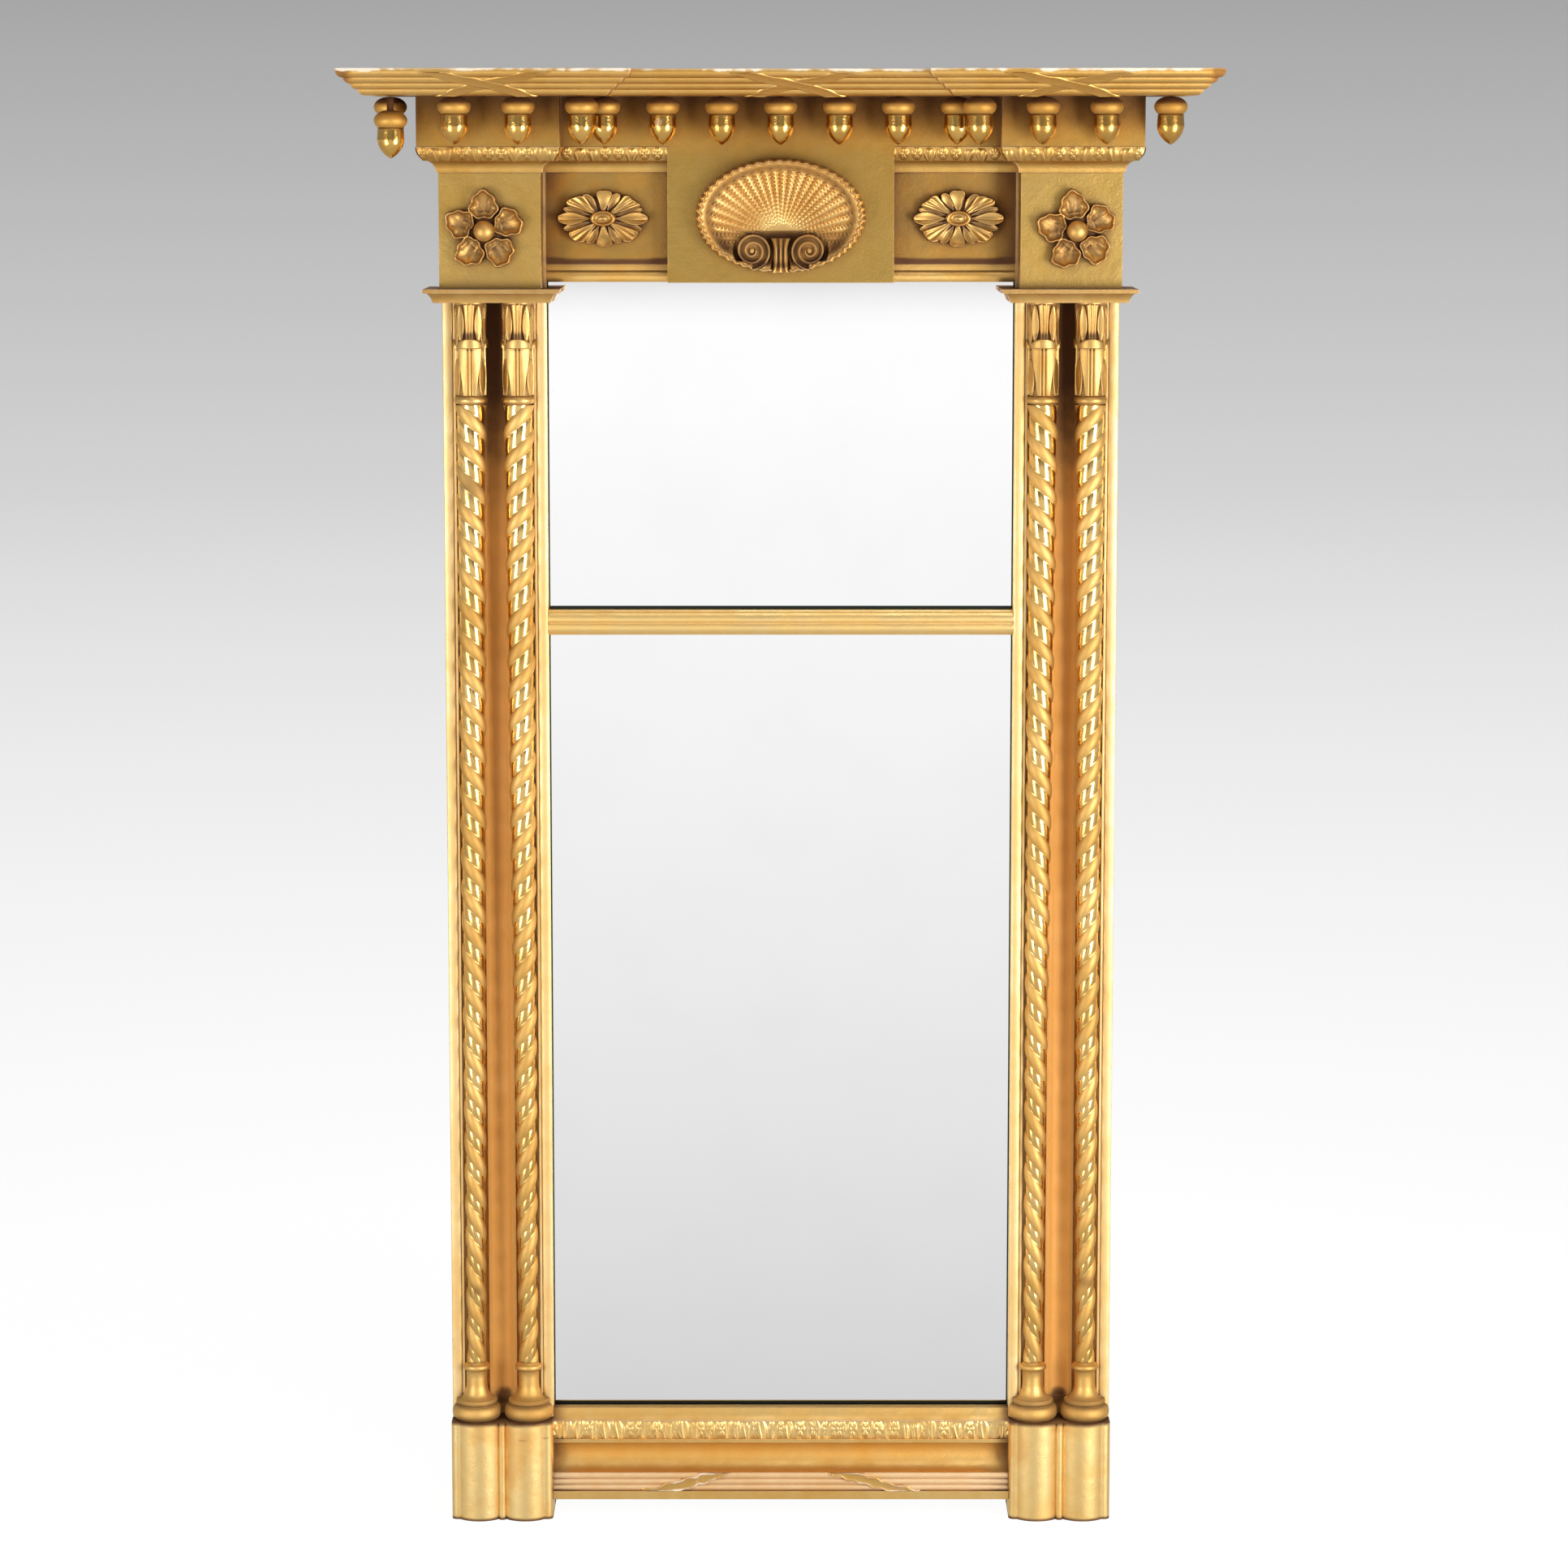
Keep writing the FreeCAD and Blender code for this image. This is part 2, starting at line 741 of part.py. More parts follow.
def shell():
    """A carved shell: ribs fan out from a scrolled hinge and rise to a scalloped rim, so
    that the middle is hollow."""
    middle = tablet_bottom + shell_lift
    bottom = middle - shell_height / 2
    hinge = bottom + shell_hinge_lift
    rings = []
    for share, rise_share, ripple in zip(shell_ring_shares, shell_rise_shares,
                                         shell_ripple_shares):
        rings.append(shell_ring(hinge, middle, share, tablet_face + rise_share * shell_rise,
                                ripple))
    bowl = faceted(rings, 1)
    stem_half = stem_width / 2
    reed = stem_width / stem_reed_count
    front = tablet_face + stem_thickness
    stem_outline = [(-stem_half, tablet_face), (stem_half, tablet_face), (stem_half, front)]
    for number in range(stem_reed_count):
        stem_outline.append((stem_half - (number + 1) * reed, front, -stem_reed_share))
    stem = upright(stem_outline, (bottom, bottom + stem_height))
    scroll_middle = bottom + stem_height - volute_radius + volute_band
    scrolls = [volute(side * volute_spacing / 2, scroll_middle, side) for side in (-1, 1)]
    return joined([bowl, stem] + scrolls)


def oval(x, z, half_width, half_height, forward):
    """A ring of points round an upright oval."""
    ring = []
    for side in range(oval_sides):
        angle = 2 * math.pi * side / oval_sides
        ring.append(point(x + half_width * math.cos(angle), forward,
                          z + half_height * math.sin(angle)))
    return ring


def patera():
    """An oval flower: ridged petals round a dished boss on a thin oval plate."""
    x = (tablet_half + sight_half) / 2 + patera_shift
    z = (tablet_bottom + architrave_height + bed_bottom) / 2
    across = patera_width / 2
    up = patera_height / 2
    plate_rim = (x, z, across * patera_plate_share, up * patera_plate_share)
    pieces = [faceted([oval(*plate_rim, panel_face), oval(*plate_rim, panel_face + patera_plate)],
                      0)]
    for number in range(patera_petal_count):
        angle = 2 * math.pi * number / patera_petal_count
        tip = Vector(across * math.cos(angle), 0, up * math.sin(angle))
        beside = Vector(-tip.z, 0, tip.x)
        middle = point(x, panel_face, z)
        rings = []
        for length, width, ridge in zip(petal_length_shares, petal_width_shares,
                                        petal_ridge_shares):
            spine = middle + tip * length
            crest = spine + Vector(0, -ridge * patera_petal_thickness, 0)
            half = beside * width
            rings.append([spine - half, crest, spine + half] if width > 0 else [spine])
        pieces.append(faceted(rings, 1))
    rim = (x, z, patera_boss_width / 2, patera_boss_height / 2)
    crown = panel_face + patera_rise
    pieces.append(faceted([oval(*rim, panel_face), oval(*rim, crown),
                           [point(x, crown - patera_boss_dish, z)]], 0))
    return joined(pieces)


def rosette(side, first_turn):
    """A five-petalled flower: cupped round petals about a ball."""
    x = side * ((block_inner + stile_outer) / 2 + rosette_shift)
    z = (abacus_top + bed_bottom) / 2
    pieces = [fronted([(rosette_disc_radius, block_face),
                       (rosette_disc_radius, block_face + rosette_disc_thickness)], x, z)]
    for number in range(rosette_petal_count):
        angle = math.radians(first_turn + 360 * number / rosette_petal_count)
        petal_x = x + rosette_petal_orbit * math.cos(angle)
        petal_z = z + rosette_petal_orbit * math.sin(angle)
        lip = block_face + rosette_petal_thickness
        pieces.append(fronted([(rosette_petal_root, block_face), (rosette_petal_radius, lip),
                               (0, lip - rosette_cup_depth)], petal_x, petal_z))
    ball_middle = block_face + rosette_ball_lift
    ball = [(rosette_ball_radius, block_face)]
    for number in range(ball_bands + 1):
        angle = math.pi / 2 * number / ball_bands
        radius = rosette_ball_radius * math.cos(angle) if number < ball_bands else 0
        ball.append((radius, ball_middle + rosette_ball_radius * math.sin(angle)))
    pieces.append(fronted(ball, x, z))
    return joined(pieces)


def base_section():
    """The base rail's moulding: fillet, seat for the reeds, cove, leaf band and sight cove."""
    front = board + base_projection
    reed_bottom = base_lift + base_fillet_height
    reed_top = reed_bottom + reed_count * reed_height
    cove_top = reed_top + cove_height
    band_bottom = cove_top + band_fillet_height
    band_top = band_bottom + band_height
    seat = front - reed_back
    band_face = front - cove_back
    return [(board, base_lift), (front, base_lift), (front, reed_bottom), (seat, reed_bottom),
            (seat, reed_top), (band_face, cove_top, cove_hollow_share),
            (band_face + band_fillet_rise, cove_top), (band_face + band_fillet_rise, band_bottom),
            (band_face, band_bottom), (band_face, band_top),
            (band_face + band_thickness, band_top),
            (band_face + band_thickness - sight_cove_back, base_top, soft_share),
            (board, base_top)]


def reed_strip():
    """Three reeds side by side on a flat back, along the base rail."""
    seat = board + base_projection - reed_back
    bottom = base_lift + base_fillet_height
    root = seat + reed_back - reed_rise
    section = [(seat, bottom), (root, bottom)]
    for number in range(reed_count):
        section.append((root, bottom + (number + 1) * reed_height, -torus_share))
    section.append((seat, bottom + reed_count * reed_height))
    return length_of(section, (-sight_half, sight_half))


def leaf_band():
    """The strip of leaf ornament along the base rail, gently swelling."""
    face = board + base_projection - cove_back
    bottom = (base_lift + base_fillet_height + reed_count * reed_height + cove_height
              + band_fillet_height)
    section = [(face, bottom), (face + band_thickness, bottom),
               (face + band_thickness, bottom + band_height, -soft_share),
               (face, bottom + band_height)]
    return length_of(section, (-sight_half, sight_half))


def divider_bar():
    """The bar between the plates: a rounded front with a fine groove, and a tongue behind."""
    half = divider_height / 2
    groove = divider_groove_width / 2
    top, bottom = divider_middle + half, divider_middle - half
    front = board + divider_rise
    edge = front - divider_edge
    section = [(rebate_depth, bottom), (edge, bottom),
               (front, divider_middle - groove, -quarter_round_share),
               (front, divider_middle + groove, divider_groove_depth / divider_groove_width),
               (edge, top, -quarter_round_share), (rebate_depth, top)]
    bar = length_of(section, (-sight_half, sight_half))
    tongue = box((-plate_half, plate_half),
                 (rebate_depth - plate_thickness - backboard_thickness, rebate_depth),
                 (divider_middle - tongue_half, divider_middle + tongue_half))
    return joined([bar, tongue])


def architrave():
    """The strip under a frieze panel: a bead with a flat above it."""
    face = board + architrave_rise
    neck = tablet_bottom + architrave_bead_height
    top = tablet_bottom + architrave_height
    return length_of([(board, tablet_bottom), (face, tablet_bottom), (face, neck, -torus_share),
                      (face, top), (board, top)], (tablet_half, sight_half))


def glue_blocks(z_range, count):
    """Three-sided blocks glued into the rebates, holding one backboard against its plate."""
    back = rebate_depth - plate_thickness - backboard_thickness
    edge = sight_half + rebate_width
    section = [(edge, back), (edge, back - glue_block_depth), (edge - glue_block_width, back)]
    first = z_range[0] + glue_block_end
    last = z_range[1] - glue_block_end - glue_block_length
    blocks = []
    for number in range(count):
        bottom = first + (last - first) * number / (count - 1)
        right = upright(section, (bottom, bottom + glue_block_length))
        blocks += [right, mirrored(right)]
    return blocks


# Carcass
save_pair("stile", stile())
save("top_rail", box((-sight_half, sight_half), (0, board), (top_rail_bottom, soffit)))
save("bottom_rail", box((-sight_half, sight_half), (0, board), (base_lift, rail_top)))
save("divider_bar", divider_bar())

# Plates and backs
plates = (("upper", (divider_middle + tongue_half, top_rail_bottom - plate_play)),
          ("lower", (rail_top, divider_middle - tongue_half - plate_play)))
plate_back = rebate_depth - plate_thickness
for level, heights in plates:
    save(level + "_glass", box((-plate_half, plate_half), (plate_back, rebate_depth), heights))
    save(level + "_backboard",
         box((-plate_half, plate_half), (plate_back - backboard_thickness, plate_back), heights))
save("glue_blocks", Part.makeCompound(glue_blocks(plates[0][1], upper_block_count)
                                      + glue_blocks(plates[1][1], lower_block_count)))
right_plate = hanger_plate()
save("hanger_plates", Part.makeCompound([right_plate, mirrored(right_plate)]))

# Base
save_pair("plinth", plinth())
save("base_moulding", length_of(base_section(), (-sight_half, sight_half)))
save("base_reed_strip", reed_strip())
save("base_leaf_band", leaf_band())

# Columns: the strands of each pair lean towards each other's feet
for name, place, hand in (("inner", stile_middle - column_offset, -1),
                          ("outer", stile_middle + column_offset, 1)):
    save_pair(name + "_foot", foot(place))
    save_pair(name + "_shaft", rope_shaft(place, hand))
    save_pair(name + "_capital", capital(place))
save_pair("abacus", abacus())

# Frieze
save_pair("corner_block", box((block_inner, stile_outer), (board, block_face),
                              (abacus_top, upper_bottom)))
save_pair("upper_block", upper_block())
save_pair("architrave", architrave())
save_pair("frieze_panel", box((tablet_half, sight_half), (board, panel_face),
                              (tablet_bottom + architrave_height, upper_bottom)))
save("frieze_tablet", frieze_tablet())
bed_path = [(tablet_half, panel_face), (block_inner, panel_face), (block_inner, block_face),
            (stile_outer, block_face), (stile_outer, 0)]
bed_lengths = mitred_lengths(bed_path, bed_section())
save_pair("panel_moulding", bed_lengths[0])
save_pair("bed_moulding", Part.makeCompound(bed_lengths[1:]))

# Ornaments of the frieze
save("shell", shell())
save_pair("patera", patera())
save("left_rosette", rosette(-1, left_rosette_turn))
save("right_rosette", rosette(1, right_rosette_turn))

# Cornice
cornice_lengths = mitred_lengths(cornice_path(), cornice_section())
save("left_cornice", Part.makeCompound(cornice_lengths[:3]))
save("centre_cornice", cornice_lengths[3])
save("right_cornice", Part.makeCompound(cornice_lengths[4:]))
corner_place, corner_places, middle_places = acorn_rows()
save("cornice_board", cornice_board(-corner_place[0], corner_place[1]))

# Acorns: the left-hand corner one has worked loose on its peg
side_acorns = [acorn(x, forward, 0, False) for x, forward in corner_places]
save("left_acorns", mirrored(Part.makeCompound(side_acorns)))
save("right_acorns", Part.makeCompound(side_acorns + [acorn(*corner_place, 0, False)]))
save("centre_acorns", Part.makeCompound([acorn(x, forward, 0, False)
                                         for x, forward in middle_places]))
save("loose_acorn", acorn(-corner_place[0], corner_place[1], loose_acorn_drop, True))
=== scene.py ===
import math

import bpy
import numpy as np
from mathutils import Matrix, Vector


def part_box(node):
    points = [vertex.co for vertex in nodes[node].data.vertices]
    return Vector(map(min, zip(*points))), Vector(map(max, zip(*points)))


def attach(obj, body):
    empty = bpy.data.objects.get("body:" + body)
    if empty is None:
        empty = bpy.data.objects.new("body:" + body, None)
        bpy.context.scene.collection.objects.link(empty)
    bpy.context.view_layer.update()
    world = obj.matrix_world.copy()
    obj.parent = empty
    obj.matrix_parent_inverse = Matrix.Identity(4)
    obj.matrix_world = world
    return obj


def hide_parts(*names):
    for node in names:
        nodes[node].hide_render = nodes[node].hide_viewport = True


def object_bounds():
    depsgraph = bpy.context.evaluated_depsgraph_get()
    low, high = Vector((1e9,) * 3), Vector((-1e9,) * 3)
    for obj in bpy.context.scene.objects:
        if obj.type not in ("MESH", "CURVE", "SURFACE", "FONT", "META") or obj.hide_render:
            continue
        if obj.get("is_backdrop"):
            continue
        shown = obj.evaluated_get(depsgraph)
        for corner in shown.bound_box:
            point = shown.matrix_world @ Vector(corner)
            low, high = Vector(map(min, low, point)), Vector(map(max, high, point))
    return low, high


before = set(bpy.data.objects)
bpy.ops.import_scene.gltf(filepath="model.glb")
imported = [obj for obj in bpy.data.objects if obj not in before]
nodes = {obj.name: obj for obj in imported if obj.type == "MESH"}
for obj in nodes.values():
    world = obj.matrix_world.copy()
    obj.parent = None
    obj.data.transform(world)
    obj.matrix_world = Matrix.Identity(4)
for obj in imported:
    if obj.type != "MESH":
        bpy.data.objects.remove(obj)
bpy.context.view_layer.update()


# Rails, backboards, glue blocks and cornice board: the plain pine carcass behind the gilding.
# The rails are glued between the stiles, and the thin boards lie in the rebates behind the
# plates, held by rubbed blocks. The wood is bare, sawn and browned by age.
class Shade:
    """A value in a material. Operators on it add Math nodes to that material."""

    def __init__(self, tree, socket=None):
        self.tree = tree
        self.socket = socket

    def node(self, kind, settings, sockets, output=0):
        """Adds one node: its settings first, then the values or links of its sockets."""
        made = self.tree.nodes.new(kind)
        for name, value in settings.items():
            setattr(made, name, value)
        for name, value in sockets.items():
            if isinstance(value, Shade):
                self.tree.links.new(value.socket, made.inputs[name])
            else:
                made.inputs[name].default_value = value
        return Shade(self.tree, made.outputs[output] if made.outputs else None)

    def maths(self, operation, first, second):
        return self.node("ShaderNodeMath", {"operation": operation}, {0: first, 1: second})

    def __add__(self, other):
        return self.maths("ADD", self, other)

    def __radd__(self, other):
        return self.maths("ADD", other, self)

    def __sub__(self, other):
        return self.maths("SUBTRACT", self, other)

    def __rsub__(self, other):
        return self.maths("SUBTRACT", other, self)

    def __mul__(self, other):
        return self.maths("MULTIPLY", self, other)

    def __rmul__(self, other):
        return self.maths("MULTIPLY", other, self)

    def __truediv__(self, other):
        return self.maths("DIVIDE", self, other)

    def __rtruediv__(self, other):
        return self.maths("DIVIDE", other, self)

    def size(self):
        """This value without its sign."""
        return self.maths("ABSOLUTE", self, 0.0)

    def or_more(self, other):
        """The larger of two values."""
        return self.maths("MAXIMUM", self, other)

    def between(self, low, high):
        """0 up to low, 1 from high on, and a smooth step from one to the other."""
        return self.node("ShaderNodeMapRange", {"interpolation_type": "SMOOTHSTEP"},
                         {"Value": self, "From Min": low, "From Max": high})

    def blend(self, first, second):
        """The colour first where this value is 0, and second where it is 1."""
        return self.node("ShaderNodeMix", {"data_type": "RGBA"}, {0: self, 6: first, 7: second}, 2)

    def place(self):
        """The point on the piece, in metres."""
        return self.node("ShaderNodeTexCoord", {}, {}, "Object")

    def part_of(self, axis):
        """One part, X, Y or Z, of this vector."""
        return self.node("ShaderNodeSeparateXYZ", {}, {"Vector": self}, axis)

    def noise(self, scale, detail):
        """Cloudy values about a half over this vector; scale counts spots in a metre."""
        sockets = {"Vector": self, "Scale": scale, "Detail": detail}
        return self.node("ShaderNodeTexNoise", {}, sockets)

    def stretched(self, scale):
        """This vector, scaled along each axis."""
        return self.node("ShaderNodeMapping", {}, {"Vector": self, "Scale": scale})

    def bump(self, depth, normal=None):
        """A normal that follows this height; depth is in metres."""
        sockets = {"Height": self, "Strength": 1.0, "Distance": depth}
        if normal is not None:
            sockets["Normal"] = normal
        return self.node("ShaderNodeBump", {}, sockets)


def new_finish(name):
    """An empty material and the maker of its values."""
    finish = bpy.data.materials.new(name)
    finish.use_nodes = True
    finish.node_tree.nodes.clear()
    return finish, Shade(finish.node_tree)


def close_finish(shade, sockets):
    """Ends a material in one surface with these values."""
    surface = shade.node("ShaderNodeBsdfPrincipled", {}, sockets)
    shade.node("ShaderNodeOutputMaterial", {}, {"Surface": surface})


pine_pale = (0.36, 0.22, 0.11, 1)
pine_ring = (0.22, 0.115, 0.05, 1)
pine_grey = (0.15, 0.10, 0.065, 1)


def bare_pine(shade, along, rings_across):
    """The colour and the height of bare old pine, with its grain along one direction and its
    rings counted across another."""
    place = shade.place()
    rings = shade.node("ShaderNodeTexWave", {"bands_direction": rings_across},
                       {"Vector": place.stretched(along), "Scale": 22.0, "Distortion": 7.0,
                        "Detail": 3.0, "Detail Scale": 1.2}, "Fac")
    fibre = place.stretched(along).noise(700.0, 4.0)
    stain = place.noise(9.0, 5.0)
    wood = rings.between(0.3, 0.95).blend(pine_pale, pine_ring)
    wood = (0.75 * stain.between(0.42, 0.72)).blend(wood, pine_grey)
    wood = (0.5 * fibre.between(0.5, 0.8)).blend(wood, pine_ring)
    return wood, fibre + 0.4 * rings


def pine(name, along, rings_across):
    """A finish of bare pine for a piece whose grain runs along one direction."""
    finish, shade = new_finish(name)
    wood, height = bare_pine(shade, along, rings_across)
    rough = 0.72 + 0.2 * shade.place().noise(60.0, 3.0)
    close_finish(shade, {"Base Color": wood, "Roughness": rough, "Normal": height.bump(0.0003)})
    return finish


upright_grain = (1.0, 1.0, 0.05)
level_grain = (0.05, 1.0, 1.0)
pine_upright = pine("pine_upright", upright_grain, "X")
pine_level = pine("pine_level", level_grain, "DIAGONAL")


def dress(finish, *names):
    """Gives a finish to pieces that keep their own solid shape."""
    for name in names:
        nodes[name].material_slots[0].material = finish


dress(pine_upright, "lower_backboard", "upper_backboard", "glue_blocks")
dress(pine_level, "bottom_rail", "top_rail", "cornice_board")


# Stiles: the two uprights, planed with a bead at each edge, a channel behind each column
# and a hollow between them. Gesso and red clay lie under the gold leaf, the backs are bare.
# umber serves for grime and for painted dark shade, and amber for varnish and for painted warm
# shade.
umber = (0.115, 0.045, 0.014, 1)
red_clay = (0.30, 0.085, 0.03, 1)
gesso = (0.80, 0.70, 0.56, 1)
amber = (0.62, 0.27, 0.036, 1)
edge_depth = 0.0016
fade = 0.0005
never_worn = 9.0


def trait(shade, name):
    """A value stored on the points of a carved piece, and 0 where a piece has none."""
    return shade.node("ShaderNodeAttribute", {"attribute_name": name}, {}, "Fac")


def gilding(name, light, deep, gloss=0.34, grime=0.5, reach=0.004, rub=0.2, soften=0.0002,
            worn_above=never_worn, varnish_and_shade=None, leaf=1.0, tooth=0.00012, rebate=None):
    """Gold leaf between two colours, light and deep. gloss is its roughness where clean,
    grime the strength of the grime in hollows that lie within reach, rub the wear on edges,
    soften the radius of its edges, and worn_above the height from which it is worn to the white
    ground. The varnish function tells where old amber varnish and sooty grime lie and where warm
    and dark shade is painted in, leaf is the share of metal, less for bronze powder in size, and
    tooth the depth of its fine unevenness. The darkening trait of carved pieces also holds painted
    shade. Backs and the top of the cornice are left bare, and so is a rebate, given by half its
    width and where it starts."""
    finish, shade = new_finish(name)
    place = shade.place()
    broad = place.noise(12.0, 4.0)
    cloud = place.noise(75.0, 5.0)
    speck = place.noise(750.0, 3.0)
    matte = trait(shade, "matte")
    soot = trait(shade, "soot")
    chip = trait(shade, "chip")
    open_air = shade.node("ShaderNodeAmbientOcclusion", {"samples": 4}, {"Distance": reach}, "AO")
    inside = shade.node("ShaderNodeAmbientOcclusion",
                        {"samples": 4, "inside": True, "only_local": True},
                        {"Distance": edge_depth}, "AO")
    normal = shade.node("ShaderNodeNewGeometry", {}, {}, "True Normal")
    to_wall = normal.part_of("Y").between(0.6, 0.85)
    level = place.part_of("Z")
    on_top = normal.part_of("Z").between(0.6, 0.85) * level.between(worn_above - 0.001, worn_above)
    bare = to_wall.or_more(on_top)
    if rebate is not None:
        half, start = rebate
        within = 1 - place.part_of("X").size().between(half, half + fade)
        bare = bare.or_more(within * place.part_of("Y").between(start, start + fade))

    tone = 0.55 * broad.between(0.36, 0.64) + 0.45 * cloud.between(0.3, 0.7)
    # Grime in hollows and painted shade, from the carved pieces' trait and from the varnish share,
    # darken the gold towards umber.
    dirt_and_shade = grime * (1 - open_air) + soot + 0.35 * cloud - 0.175
    light, deep = (*light, 1), (*deep, 1)
    gold = tone.blend(deep, light)
    gold = (0.45 * matte).blend(gold, deep)
    dull = 0.42 * matte
    if varnish_and_shade is not None:
        # The varnish share paints warm and dark shade in some places, as well as real varnish and
        # grime.
        amber_and_warm_shade, soot_share = varnish_and_shade(place)
        dirt_and_shade = dirt_and_shade + soot_share
        gold = amber_and_warm_shade.blend(gold, amber)
        dull = dull + 0.2 * amber_and_warm_shade
    dirt_and_shade = dirt_and_shade.between(0.12, 0.8)
    edge = (1 - inside) + 0.45 * cloud + 0.35 * speck
    clay = (edge + chip).between(0.80, 1.0) * rub
    white = (edge + 1.4 * chip).between(1.0, 1.25) * rub
    worn = (level + 0.005 * (cloud - 0.5)).between(worn_above, worn_above + 0.0007)
    white = white.or_more(worn * (0.25 + 0.65 * cloud.between(0.42, 0.58)))
    gold = dirt_and_shade.blend(gold, umber)
    gold = clay.blend(gold, red_clay)
    gold = white.blend(gold, gesso)
    grain = (upright_grain, "X") if worn_above == never_worn else (level_grain, "DIAGONAL")
    wood, height = bare_pine(shade, *grain)
    skin = bare.blend(gold, wood)
    metal = leaf * (1 - 0.45 * dirt_and_shade) * (1 - 0.7 * clay) * (1 - white) * (1 - bare)
    rough = (gloss + dull + 0.12 * (1 - tone) + 0.3 * dirt_and_shade + 0.3 * clay
             + 0.5 * bare + 0.08 * (speck - 0.5))
    rounded = shade.node("ShaderNodeBevel", {"samples": 4}, {"Radius": soften})
    relief = speck + 3.0 * cloud + 0.6 * (bare * height)
    close_finish(shade, {"Base Color": skin, "Metallic": metal, "Roughness": rough,
                         "Normal": relief.bump(tooth, rounded)})
    return finish


hollow_x = -(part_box("left_outer_shaft")[0].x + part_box("left_inner_shaft")[1].x) / 2
frieze_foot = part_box("left_abacus")[0].z
plinth_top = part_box("left_plinth")[1].z
grime_rise, grime_reach = 0.013, 0.009
# Heights over which painted shade darkens the hollow towards the capitals.
sooty_from, sooty_to = 0.66, 0.85


def hollow_shade_and_grime(place):
    """Painted warm shade between the columns of a pair, painted shade that darkens towards their
    heads under the capitals, a spot of grime between the feet, and the darker tone of the frieze
    on the sides above the columns."""
    from_middle = (place.part_of("X").size() - hollow_x).size()
    between = 1 - from_middle.between(0.012, 0.019)
    level = place.part_of("Z")
    head = level.between(frieze_foot - fade, frieze_foot)
    up = (level - (plinth_top + grime_rise)) / grime_reach
    away = from_middle / grime_reach
    spot = 1 - (away * away + up * up + 0.5 * place.noise(160.0, 4.0)).between(0.3, 1.3)
    # Painted shade: the hollow darkens towards the capitals, and a grime spot lies between the
    # feet.
    soot = 0.85 * between * level.between(sooty_from, sooty_to) + 0.42 * head + 0.62 * spot
    return 0.85 * between * (1 - head) + 0.35 * head, soot


rebate = (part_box("lower_backboard")[1].x + 0.001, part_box("lower_glass")[0].y)
gilt_stile = gilding(
    "gilt_stile", (0.97, 0.73, 0.36), (0.88, 0.60, 0.24), gloss=0.45, grime=0.0, reach=0.012,
    soften=0.0008, varnish_and_shade=hollow_shade_and_grime, leaf=0.35, rebate=rebate)
dress(gilt_stile, "left_stile", "right_stile")


# Hanger plates: two brass keyhole plates let into the backs of the stiles.
# Each is held by two slotted iron screws with low domed heads.
mm = 0.001
screw_radius, screw_dome, screw_slot = 3.4, 0.9, 0.55
screw_inset, screw_aside = 6.0, 10.0
plate_sunk = 0.8


def plain_metal(name, pale, dark, gloss):
    """Old bare metal with cloudy tarnish."""
    finish, shade = new_finish(name)
    cloud = shade.place().noise(180.0, 5.0)
    colour = cloud.between(0.35, 0.7).blend(pale, dark)
    close_finish(shade, {"Base Color": colour, "Metallic": 1 - 0.4 * cloud.between(0.5, 0.8),
                         "Roughness": gloss + 0.3 * cloud, "Normal": cloud.bump(0.00015)})
    return finish


def grid_faces(rows, columns):
    """The four-cornered faces of a grid of points, row by row."""
    index = np.arange(rows * columns).reshape(rows, columns)
    corners = (index[:-1, :-1], index[:-1, 1:], index[1:, 1:], index[1:, :-1])
    return np.stack(corners, -1).reshape(-1, 4)


def carved(across, along, lift, place, **traits):
    """A carved shape: a grid of heights, set in place, without the ground round it."""
    sunk = 0.4
    faces = grid_faces(*lift.shape)
    raised = (lift > 0).ravel()
    faces = faces[raised[faces].any(axis=1)]
    points = np.stack(place(across, along, np.where(lift > 0, lift, -sunk)), -1).reshape(-1, 3)
    used, faces = np.unique(faces, return_inverse=True)
    kept = {name: np.broadcast_to(values, lift.shape).ravel()[used]
            for name, values in traits.items()}
    return points[used], faces.reshape(-1, 4), kept


def new_object(name, points, faces, finish):
    """A mesh with one finish, put into the scene."""
    mesh = bpy.data.meshes.new(name)
    mesh.from_pydata(points, [], faces)
    mesh.materials.append(finish)
    made = bpy.data.objects.new(name, mesh)
    bpy.context.collection.objects.link(made)
    return made


def add_piece(name, shapes, finish, slot, *replaced):
    """One piece made of carved or turned shapes, in millimetres, fixed to the mirror."""
    points, faces, start = [], [], 0
    for shape_points, shape_faces, _ in shapes:
        points.append(shape_points)
        faces.append(shape_faces + start)
        start += len(shape_points)
    points, faces = np.concatenate(points) * mm, np.concatenate(faces)
    piece = new_object(name, points.tolist(), faces.tolist(), finish)
    piece.data.polygons.foreach_set("use_smooth", [True] * len(faces))
    for key in shapes[0][2]:
        values = np.concatenate([shape[2][key] for shape in shapes]).astype(np.float32)
        piece.data.attributes.new(key, "FLOAT", "POINT").data.foreach_set("value", values)
    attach(piece, "root")
    if replaced:
        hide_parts(*replaced)


def node_box(name):
    """The lowest and highest corner of a solid, in millimetres."""
    low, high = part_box(name)
    return np.array(low) / mm, np.array(high) / mm


def grid(across, columns, along, rows):
    """Two grids of places, between two limits each way."""
    return np.meshgrid(np.linspace(*across, columns), np.linspace(*along, rows), indexing="ij")


def square_grid(half_width, half_height, columns, rows):
    """Two grids of places about a middle."""
    return grid((-half_width, half_width), columns, (-half_height, half_height), rows)


def screw_head(x, back, z, turn):
    """A low domed head with a slot, on a face that looks to the wall."""
    across, along = square_grid(screw_radius * 1.05, screw_radius * 1.05, 25, 25)
    reach = np.hypot(across, along) / screw_radius
    lift = screw_dome * np.sqrt(np.clip(1 - reach ** 4, 0, None))
    slot = np.abs(across * math.sin(turn) - along * math.cos(turn)) < screw_slot
    lift = np.where(slot & (lift > 0), 0.15, lift)
    return carved(across, along, lift, lambda u, v, h: (x - u, back + h, z + v))


